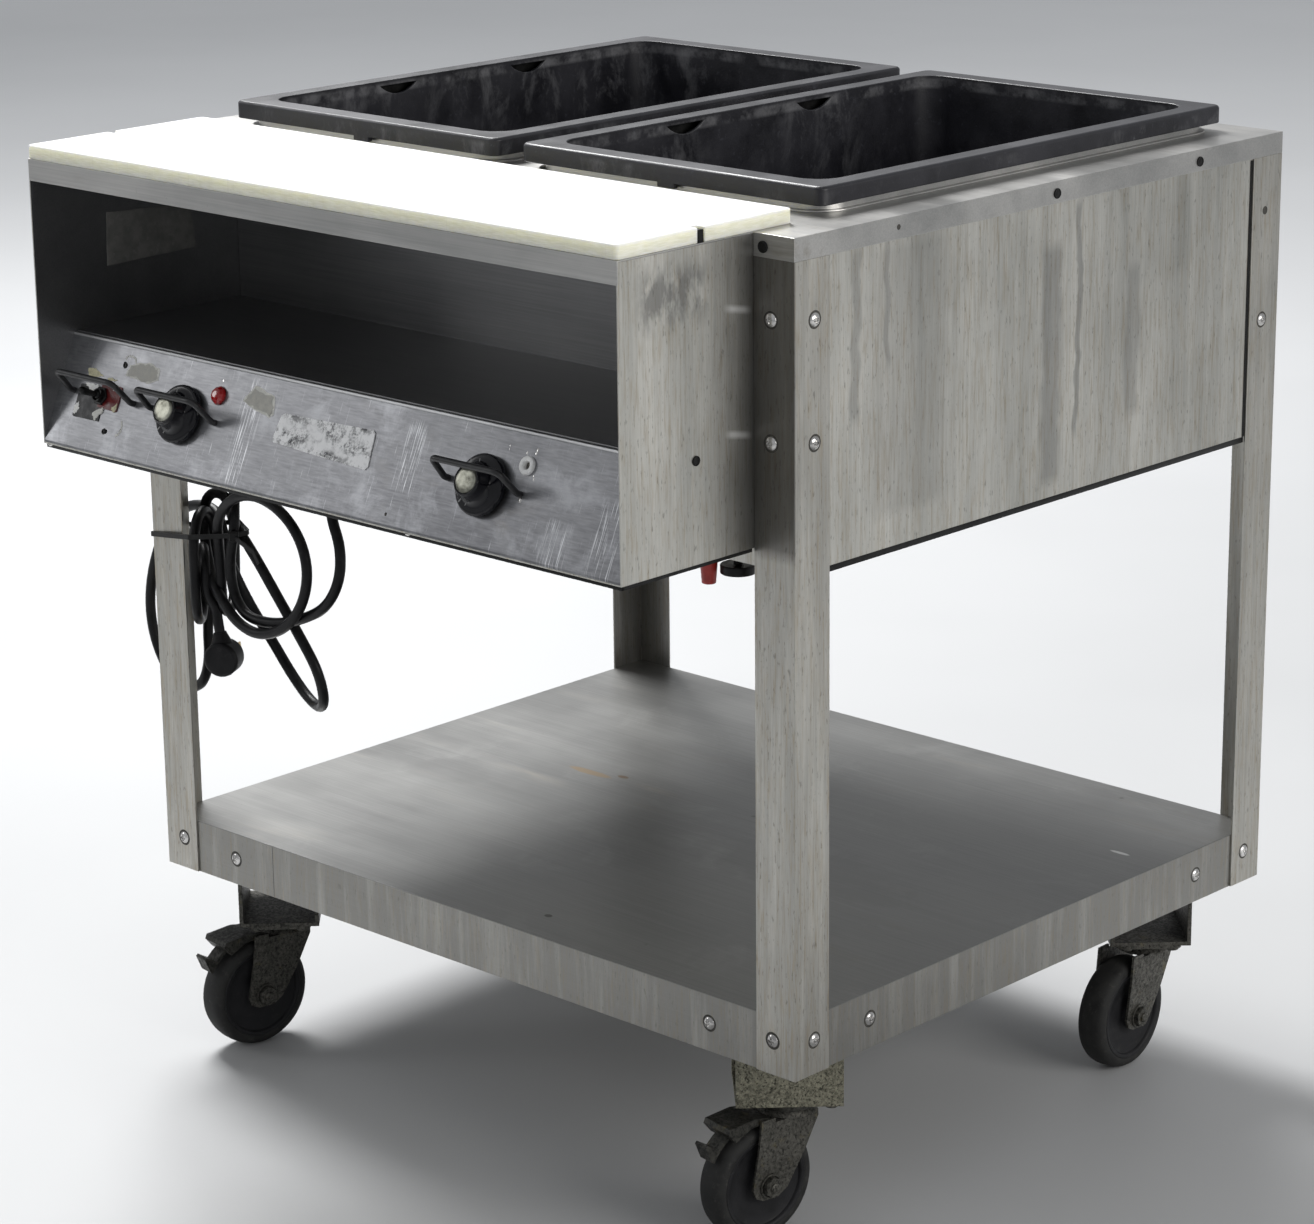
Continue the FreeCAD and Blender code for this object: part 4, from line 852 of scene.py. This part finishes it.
def small_marks():
    """Open holes drawn dark as painted shade, a seam, the lower hems and rear gaps drawn black as
    painted shade, and two weld beads.
    """
    holes, hems = bmesh.new(), bmesh.new()
    for y, z, r in ((-129.5, 887.6, 1.9), (389.0, 828.0, 3.4)):
        lathe(holes, [(0, 0.05), (r, 0.06), (r + 0.5, 0.0)], facing((1, 0, 0), mm(HALF_W, y, z)), 20)
    lathe(holes, [(0, 0.06), (1.3, 0.06), (1.5, 0.0)], facing(OUT, on_panel(89, 8)), 16)
    brick(holes, (-254.4, Y_LEG + 1.93, 181), (-253.9, Y_LEG + 2.6, SHELF_Z - 1))
    panel_y, gap_y, box_y = (Y_LEG + LEG_W, Y_BACK - LEG_W), (366.6, 370.3), (-411.0, -258.0)
    for near, far, (y0, y1), (z0, z1), bevel in (
            (401.5, 403.8, panel_y, (BODY_Z - 5.5, BODY_Z + 0.6), 0.3),
            (404.4, 405.1, gap_y, (BODY_Z + 0.4, 876), 0.1),
            (HEM_IN, HEM_OUT, box_y, HEM_Z, 0.3)):
        for x0, x1 in ((-far, -near), (near, far)):
            brick(hems, (x0, y0, z0), (x1, y1, z1), bevel=bevel)
    brick(hems, (-HEM_OUT, -411.5, HEM_Z[0]), (HEM_OUT, -409.0, HEM_Z[1]), bevel=0.3)
    add("open_holes", holes, "shadow_grime", "frame")
    add("hem_and_gap_shadows", hems, "black_plastic", "frame")
    welds = bmesh.new()
    for x in (-356, 117):
        at = moved(x, -411, 636.9) @ Matrix.Diagonal((1.6, 1.2, 1.0, 1))
        lathe(welds, [(0, -2.4), (1.2, -2.0), (2.0, -1.1), (2.4, 0)], at, 16)
    add("weld_marks", welds, "bright_metal", "frame")


screws()
hole_plugs()
small_marks()


# ---- controls ----
KNOB_XS = {"left": -KNOB_X, "right": KNOB_X}
KNOB = [(3.2, 1.6), (25.0, 1.6), (26.2, 2.2), (26.5, 3.2), (26.4, 5.2), (25.9, 6.6), (24.8, 7.4),
        (23.4, 7.6), (21.2, 7.7), (18.6, 8.5), (16.6, 10.3), (15.3, 13.0), (14.5, 16.5),
        (13.9, 20.0), (13.6, 21.8), (13.1, 22.7), (12.4, 23.0), (11.7, 22.7), (11.5, 21.9),
        (3.2, 21.8)]
KNOB_CAP = [(0, 23.5), (3.0, 23.5), (7.5, 23.45), (10.2, 23.35), (10.9, 23.0), (11.3, 22.3),
            (11.3, 21.9)]
# angle on the skirt, inner and outer radius, and width of each plain tick
TICKS = [(62, 19.2, 22.6, 1.2), (38, 19.4, 22.4, 0.8), (14, 19.6, 22.2, 0.8), (-12, 19.4, 22.4, 0.8),
         (-38, 19.6, 22.2, 0.8), (-64, 19.4, 22.4, 0.8), (-92, 19.6, 22.2, 0.8), (86, 19.8, 22.0, 0.7)]
TICK_Z, SKIRT_LEAN = 10.8, -9


def flutes(count, r_start, depth):
    """Shallow finger grooves round a skirt."""
    def dent(x, y, z):
        r = math.hypot(x, y)
        if r > r_start and z < 6.5:
            wave = max(0.0, math.cos(count * math.atan2(y, x))) ** 12
            x, y = x * (1 - depth * wave / r), y * (1 - depth * wave / r)
        return x, y, z
    return dent


def knobs():
    """A skirt with shallow grooves, a flared tapered hub, ticks on the skirt and a metal cap."""
    for side, x in KNOB_XS.items():
        body, at = "knob_" + side, facing(OUT, on_panel(x, PANEL_MID))
        moulding, marks = bmesh.new(), bmesh.new()
        lathe(moulding, KNOB, at, 96, flutes(12, 24.0, 0.9))
        moulding = add(body + "_moulding", moulding, "knob_plastic", body, sharp=50)
        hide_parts(body)
        for degrees, low, high, wide in TICKS:
            turn = at @ turned(degrees) @ turned(SKIRT_LEAN, "Y")
            brick(marks, (low, -wide / 2, TICK_Z), (high, wide / 2, TICK_Z + 0.2), turn)
        add(body + "_marks", marks, "mark_grey", body)
        cap = lathed(body + "_cap", KNOB_CAP, at, 64, "cap_metal", body)
        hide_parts("knob_cap_" + side)


# across, up the slope and radius of each chip round the lamps
CHIPS = [(237, 87, 1.5), (236.5, 84.5, 1.1), (226.5, 83.6, 0.9), (240.5, 66, 1.0), (241.5, 63.6, 0.8),
         (233, 45, 2.0), (-150, 87, 0.8), (206, 86, 0.7), (206.4, 83.4, 0.6)]


def lamps():
    """A faceted red lens in a thin bezel, the ring of a lost lens round a dark bore, bright chips."""
    at = facing(OUT, on_panel(RED_LAMP_X, LAMP_UP)) @ Matrix.Rotation(0.2, 4, "Z")
    lens = lathed("red_lens", [(7.9, 0.1), (8.0, 1.2), (7.6, 3.0), (5.6, 5.4), (3.0, 6.2), (0, 6.3)],
                  at, 10, "lens_red", "frame", sharp=5)
    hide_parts("pilot_lamp_red")
    lathed("red_lens_rim", [(7.6, 0.05), (8.4, 0.05), (8.6, 0.5), (8.3, 0.9), (7.9, 0.9)], at, 40,
           "lens_red_dark", "frame")
    at = facing(OUT, on_panel(WHITE_LAMP_X, LAMP_UP))
    ring = lathed("white_ring", [(3.4, -6.0), (3.5, 1.2), (3.9, 2.3), (4.6, 2.7), (6.6, 2.75),
                                 (7.5, 2.4), (8.0, 1.6), (8.1, 0.05)], at, 56, "ring_white", "frame")
    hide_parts("pilot_lamp_white")
    lathed("white_ring_bore", [(0, -0.6), (1.6, -0.8), (2.4, -1.6), (3.45, -2.0)], at, 32, "dark_bore",
           "frame")
    chips = bmesh.new()
    rng = random.Random(5)
    for x, up, r in CHIPS:
        stretch = Matrix.Diagonal((rng.uniform(0.6, 1.0), rng.uniform(1.0, 1.9), 1, 1))
        lathe(chips, [(0, 0.12), (r, 0.08), (r * 1.1, 0)], facing(OUT, on_panel(x, up)) @ stretch, 9)
    add("paint_chips", chips, "bright_metal", "frame")


def torn(points, seed, amount, steps=5):
    """A torn edge: the outline's sides broken into short uneven steps."""
    rng, out = random.Random(seed), []
    for (x0, y0), (x1, y1) in zip(points, points[1:] + points[:1]):
        for i in range(steps):
            t = i / steps
            shake = amount if i else amount * 0.4
            out.append((x0 + (x1 - x0) * t + rng.uniform(-shake, shake),
                        y0 + (y1 - y0) * t + rng.uniform(-shake, shake)))
    return out


def patch(bm, points, low, high, seed, amount):
    """A thin torn patch lying on the control panel."""
    slab(bm, torn(points, seed, amount), high - low, lambda p, h: on_panel(*p, low + h))


def labels():
    """The switch's two-field label with its torn stickers, the glue marks and the blank plates."""
    black, red = bmesh.new(), bmesh.new()
    patch(black, [(-333, 27.4), (-332.6, 56), (-331, 57.2), (-297.4, 56.2), (-296.2, 26.8),
                  (-331.4, 26.2)], 0.05, 0.75, 3, 0.15)
    black = add("switch_label_black", black, "plate_black", "frame", flat=True)
    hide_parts("switch_plate")
    patch(red, [(-303, 39.4), (-304, 61.8), (-302, 64), (-277.4, 61.4), (-276, 59.6), (-275.6, 40.2),
                (-277, 38.4)], 0.05, 1.0, 4, 0.15)
    add("switch_label_red", red, "plate_red", "frame", flat=True)
    bits = {
        "sticker_back": [
            ([(-329.8, 71.4), (-319.4, 72.9), (-306.1, 67.7), (-317.3, 65.2), (-326, 65.5)], 0.35),
            ([(-300.5, 66.2), (-294, 68.2), (-287, 66.4), (-294, 64.4)], 0.5),
            ([(-283, 40), (-277.6, 47), (-276.6, 40.4), (-279.4, 37.4)], 1.25)],
        "sticker": [
            ([(-326.5, 58.1), (-309.6, 58.7), (-296.8, 54.6), (-302.8, 48.8), (-312.6, 48.9),
              (-319.5, 53.5)], 1.3),
            ([(-332.6, 36.5), (-328.6, 40.5), (-326.4, 33.6), (-329.8, 28.2), (-333, 30)], 1.15),
            ([(-289, 60.6), (-281.4, 62), (-279.4, 57), (-286.8, 56.2)], 1.25)],
        "glue_edge": [([(-306.8, 32.9), (-294.3, 40.5), (-293.8, 36.6), (-300.4, 26.7)], 1.2)],
        "glue": [
            ([(-276, 73.8), (-273.6, 82.2), (-263, 85.4), (-249.1, 86.6), (-237.5, 84.4),
              (-234.7, 75.3), (-247.2, 71), (-267.1, 72.7)], 0.2),
            ([(-116.9, 73.7), (-107.6, 86.8), (-82.1, 82.2), (-77.5, 68.3), (-82.1, 66),
              (-102.8, 69.7)], 0.2)]}
    for points, high in bits["glue"]:
        x, up = (sum(v) / len(points) for v in zip(*points))
        bits["glue_edge"].append(([(x + (p - x) * 1.09, up + (q - up) * 1.2) for p, q in points], 0.16))
    for x, up, r, start in ((-276.5, 81.5, 8.5, 20), (-271.5, 25.5, 7.5, -70)):
        turns = [math.radians(start + 15 * k) for k in range(9)]
        ring = [(r, t) for t in turns] + [(r + 1.5, t) for t in turns[::-1]]
        bits["glue_edge"].append(([(x + q * math.cos(t), up + q * math.sin(t)) for q, t in ring], 0.18))
    for material, pieces in bits.items():
        bm = bmesh.new()
        for k, (points, high) in enumerate(pieces):
            patch(bm, points, 0.03, high, 20 + k, 1.5 if material == "glue" else 0.8)
        add("label_bits_" + material, bm, material, "frame")
    plate = bmesh.new()
    patch(plate, [(-66.5, 44.6), (-68.6, 48.4), (-65.6, 68.6), (-61.6, 71.2), (-8, 72.4), (48.4, 73.9),
                  (51.3, 71.9), (53.7, 43.0), (50.8, 39.6), (-7, 41.8)], 0.03, 0.9, 9, 0.12)
    plate = add("name_plate_blank", plate, "plate_white", "frame", flat=True)
    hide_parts("name_plate")
    rating = bmesh.new()
    outline = torn([(-329.9, 837.2), (-231.2, 831.8), (-226.8, 790.4), (-331.8, 788.2)], 6, 0.2)
    slab(rating, outline, 0.5, lambda p, h: mm(LABEL_X + h, *p))
    rating = add("rating_label_blank", rating, "label_grey", "frame", flat=True)
    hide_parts("rating_label")


def switch_parts():
    """The switch's hex nut, and the two small screw heads above and below it."""
    bm = bmesh.new()
    at = facing(OUT, on_panel(SWITCH_X, PANEL_MID))
    lathe(bm, [(6.05, 1.05), (8.6, 1.05), (9.0, 1.5), (9.0, 3.0), (8.5, 3.5), (6.05, 3.5)], at, 6)
    for x, up in ((-281.7, 81.3), (-285.4, 19.3)):
        lathe(bm, [(0, 0.25), (1.1, 0.25), (1.3, 0.9), (2.4, 0.7), (2.9, 0.0)],
              facing(OUT, on_panel(x, up)), 20)
    add("switch_nut", bm, "black_plastic", "frame")


knobs()
lamps()
labels()
switch_parts()


# ---- wheels, forks ----
YAW = {"front_left": -8.0, "front_right": -9.0, "rear_left": 9.0, "rear_right": 2.0}
SIGNS = {"front_left": (-1, -1), "front_right": (1, -1), "rear_left": (-1, 1), "rear_right": (1, 1)}


def caster_frame(name):
    """The frame of a caster: its origin on the floor under the swivel, Y along the fork."""
    sx, sy = SIGNS[name]
    y_out = Y_BACK if sy > 0 else Y_LEG
    return moved(sx * (HALF_W - CASTER_INSET), y_out - sy * CASTER_INSET, 0) @ turned(YAW[name])


WHEEL_HALF, FORK_FACE, TREAD_R = 16.0, 21.0, 43.9
# radius, and how far in from the wheel's side, from the bore to the crown of the tread
WHEEL = [(5.1, 0), (9.5, 0), (12.6, 0.3), (13.2, 1.2), (13.6, 4.2), (14.6, 5.0), (22, 5.2), (30, 5.2),
         (37.5, 4.9), (39.0, 4.2), (39.8, 2.0), (41.0, 1.1), (43.2, 1.0), (43.7, 1.5), (44.3, 1.1),
         (48.0, 1.4), (50.8, 3.0), (52.6, 5.6), (53.6, 9.0), (54.0, 13.0)]
# segments and outline of the bolt's end, the nut and the washer, from the fork's face
AXLE_NUT = [(20, [(0, 8.6), (3.4, 8.5), (4.6, 7.6), (4.7, 6.1)]),
            (6, [(4.7, 6.1), (8.9, 6.1), (9.7, 5.3), (9.7, 1.6)]),
            (32, [(9.7, 1.6), (11.4, 1.5), (11.5, 0), (9.0, 0)])]


def wheels():
    """A wheel with a rounded rubber tread on a ribbed core, and its axle's nuts on the fork."""
    half = [(r, WHEEL_HALF - inset) for r, inset in WHEEL]
    outline = half + [(r, -h) for r, h in reversed(half)]
    for name in SIGNS:
        axle = caster_frame(name) @ moved(0, -TRAIL, AXLE_Z)
        at = axle @ turned(90, "Y")
        bm, nuts = bmesh.new(), bmesh.new()
        lathe(bm, outline + outline[:1], at, 72)
        axis = (at.to_3x3() @ Vector((0, 0, 1))).normalized()
        for face in bm.faces:
            away = face.calc_center_median() - at.translation
            if (away - axis * away.dot(axis)).length > TREAD_R * MM:
                face.material_index = 1
        wheel = add("wheel_%s_turned" % name, bm, ["wheel_rubber", "tread_rubber"], "wheel_" + name,
                    sharp=40)
        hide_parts("wheel_" + name)
        for side in (-1, 1):
            for segments, part in AXLE_NUT:
                lathe(nuts, part, axle @ turned(side * 90, "Y") @ moved(0, 0, FORK_FACE), segments)
        add("axle_nuts_" + name, nuts, "zinc_plate", BODY["fork_" + name], sharp=25)


wheels()


# ---- what is on the cord ----
def strain_relief():
    """A flanged bush with a ribbed tapered sleeve."""
    outline = [(0, 622), (11.2, 622), (11.9, 621.5), (12, 617.6), (11.4, 617), (9.4, 616.6)]
    for i in range(6):
        z, r = 615.4 - 3.0 * i, 9.0 - 0.42 * i
        outline += [(r, z), (r, z - 1.5), (r - 0.9, z - 1.9), (r - 0.9, z - 2.7)]
    outline += [(5.9, 598.4), (5.6, 598.1), (4.8, 598.1)]
    relief = lathed("strain_relief_ribbed", outline, moved(*CORD_EXIT[:2], 0), 40, "black_plastic",
                    "frame")
    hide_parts("cord_strain_relief")


def hull(points):
    """The convex outline of points in plan, anticlockwise."""
    points = sorted(set(points))

    def half(seq):
        out = []
        for p in seq:
            while len(out) > 1 and ((out[-1][0] - out[-2][0]) * (p[1] - out[-2][1])
                                    - (out[-1][1] - out[-2][1]) * (p[0] - out[-2][0])) <= 0:
                out.pop()
            out.append(p)
        return out[:-1]
    return half(points) + half(points[::-1])


def cable_tie():
    """A strap pulled round the leg and the strands, its head in front and its tail cut long."""
    pivot_x, tilt = -384.75, math.tan(math.radians(8.0))
    reach, thick, half = CORD_D / 2 + 0.3, 1.3, 2.4

    def height(x):
        return TIE_Z + (x - pivot_x) * tilt

    around = [(-407.2, -213.4), (-407.2, -258.1), (-362.6, -258.1)]     # the leg's edges and corner
    for p in CORD_LINE:
        x, y, z = p / MM
        if x > -392 and abs(z - height(x)) < 5 and math.dist((x, y), HANK) < 50:
            around += [(x + reach * math.cos(t), y + reach * math.sin(t)) for t in
                       (math.radians(20 * k) for k in range(18))]
    line = hull([(round(x, 2), round(y, 2)) for x, y in around])
    middle = (sum(p[0] for p in line) / len(line), sum(p[1] for p in line) / len(line))
    bm, rings = bmesh.new(), []
    for x, y in line:
        dx, dy = x - middle[0], y - middle[1]
        away = math.hypot(dx, dy)
        ring = []
        for out, dz in ((0.0, -half), (thick, -half), (thick, half), (0.0, half)):
            px, py = x + dx / away * out, y + dy / away * out
            ring.append(bm.verts.new(mm(px, py, height(px) + dz)))
        rings.append(ring)
    for a, b in zip(rings, rings[1:] + rings[:1]):
        for i in range(4):
            j = (i + 1) % 4
            bm.faces.new([a[i], a[j], b[j], b[i]])
    x, y = max(line, key=lambda p: p[0] * 0.80 - p[1] * 0.60)
    z, x = height(x), x + 2.4
    head = moved(x, y - 2.0, z) @ turned(-36)
    tail = moved(x, y - 3.0, z) @ turned(20, "Y")
    tip = tail @ moved(30, 0, 0) @ turned(34, "Y")
    for at, low, high, bevel in ((head, (-3.5, -4.4, -4.4), (3.5, 4.4, 4.4), 1.0),
                                 (head, (-2.6, -2.8, -5.4), (2.6, 2.8, 5.4), 0.6),
                                 (tail, (0, -0.6, -2.3), (30, 0.6, 2.3), 0.3),
                                 (tip, (-1.0, -0.6, -2.3), (12, 0.6, 2.2), 0.3)):
        brick(bm, low, high, at, bevel)
    strap = add("tie_strap", bm, "black_plastic", "frame", flat=True)
    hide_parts("cable_tie")


strain_relief()
cable_tie()


# ---- everything else keeps its CAD mesh and takes a material ----
def paint_rest():
    for name, obj in NODES.items():
        obj.data.materials.clear()
        look = {"control_guards": "guard_black", "switch_lever": "black_plastic"}.get(name, SLOT[name])
        obj.data.materials.append(MAT[look])


paint_rest()


# ---- stage and light ----
def light(name, at, target, size, power, color=(1, 1, 1)):
    data = bpy.data.lights.new(name, "AREA")
    data.shape = "RECTANGLE"
    data.size, data.size_y = size
    data.energy = power
    data.color = color
    obj = placed(name, data)
    obj.location = at
    obj.rotation_euler = (Vector(target) - Vector(at)).to_track_quat("-Z", "Y").to_euler()


def stage():
    bm = bmesh.new()
    bmesh.ops.create_grid(bm, x_segments=8, y_segments=8, size=14.0)
    mesh = bpy.data.meshes.new("floor")
    bm.to_mesh(mesh)
    bm.free()
    floor = placed("floor", mesh)
    s = Shader("floor")
    tone = s.ramp(s.noise(0.8, 3.0, 0.5), 0.3, 0.7)
    near = s.mix(tone, (0.46, 0.465, 0.47), (0.52, 0.525, 0.53))
    far = s.mix(tone, (0.84, 0.85, 0.86), (0.90, 0.91, 0.92))
    # painted light: the floor lighter the further it lies along the view
    away = s.ramp(s.dot((-0.69, 0.72, 0)), 1.5, 6.0)
    mesh.materials.append(s.finish(s.mix(away, near, far), 0.55))
    world = bpy.data.worlds.new("studio")
    bpy.context.scene.world = world
    world.use_nodes = True
    back = world.node_tree.nodes["Background"]
    back.inputs["Color"].default_value = (0.95, 0.97, 1.0, 1)
    back.inputs["Strength"].default_value = 0.42
    light("overhead", (-2.4, 0.9, 3.9), (0, 0, 0.7), (1.9, 1.9), 300)
    light("side", (-3.5, -2.6, 2.1), (0, -0.3, 0.6), (0.9, 0.9), 12)
    light("fill", (3.6, 0.3, 1.7), (0, 0, 0.6), (2.4, 1.6), 56, (1.0, 0.98, 0.95))
    bpy.context.scene.view_settings.view_transform = "Standard"


stage()

# ---- the cord's material and body, its length printed, and the end ----
flex.data.materials.append(MAT["cord_rubber"])
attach(flex, "frame")
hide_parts("power_cord", "cord_hank")
print("cord length", round(CORD_LENGTH, 3))
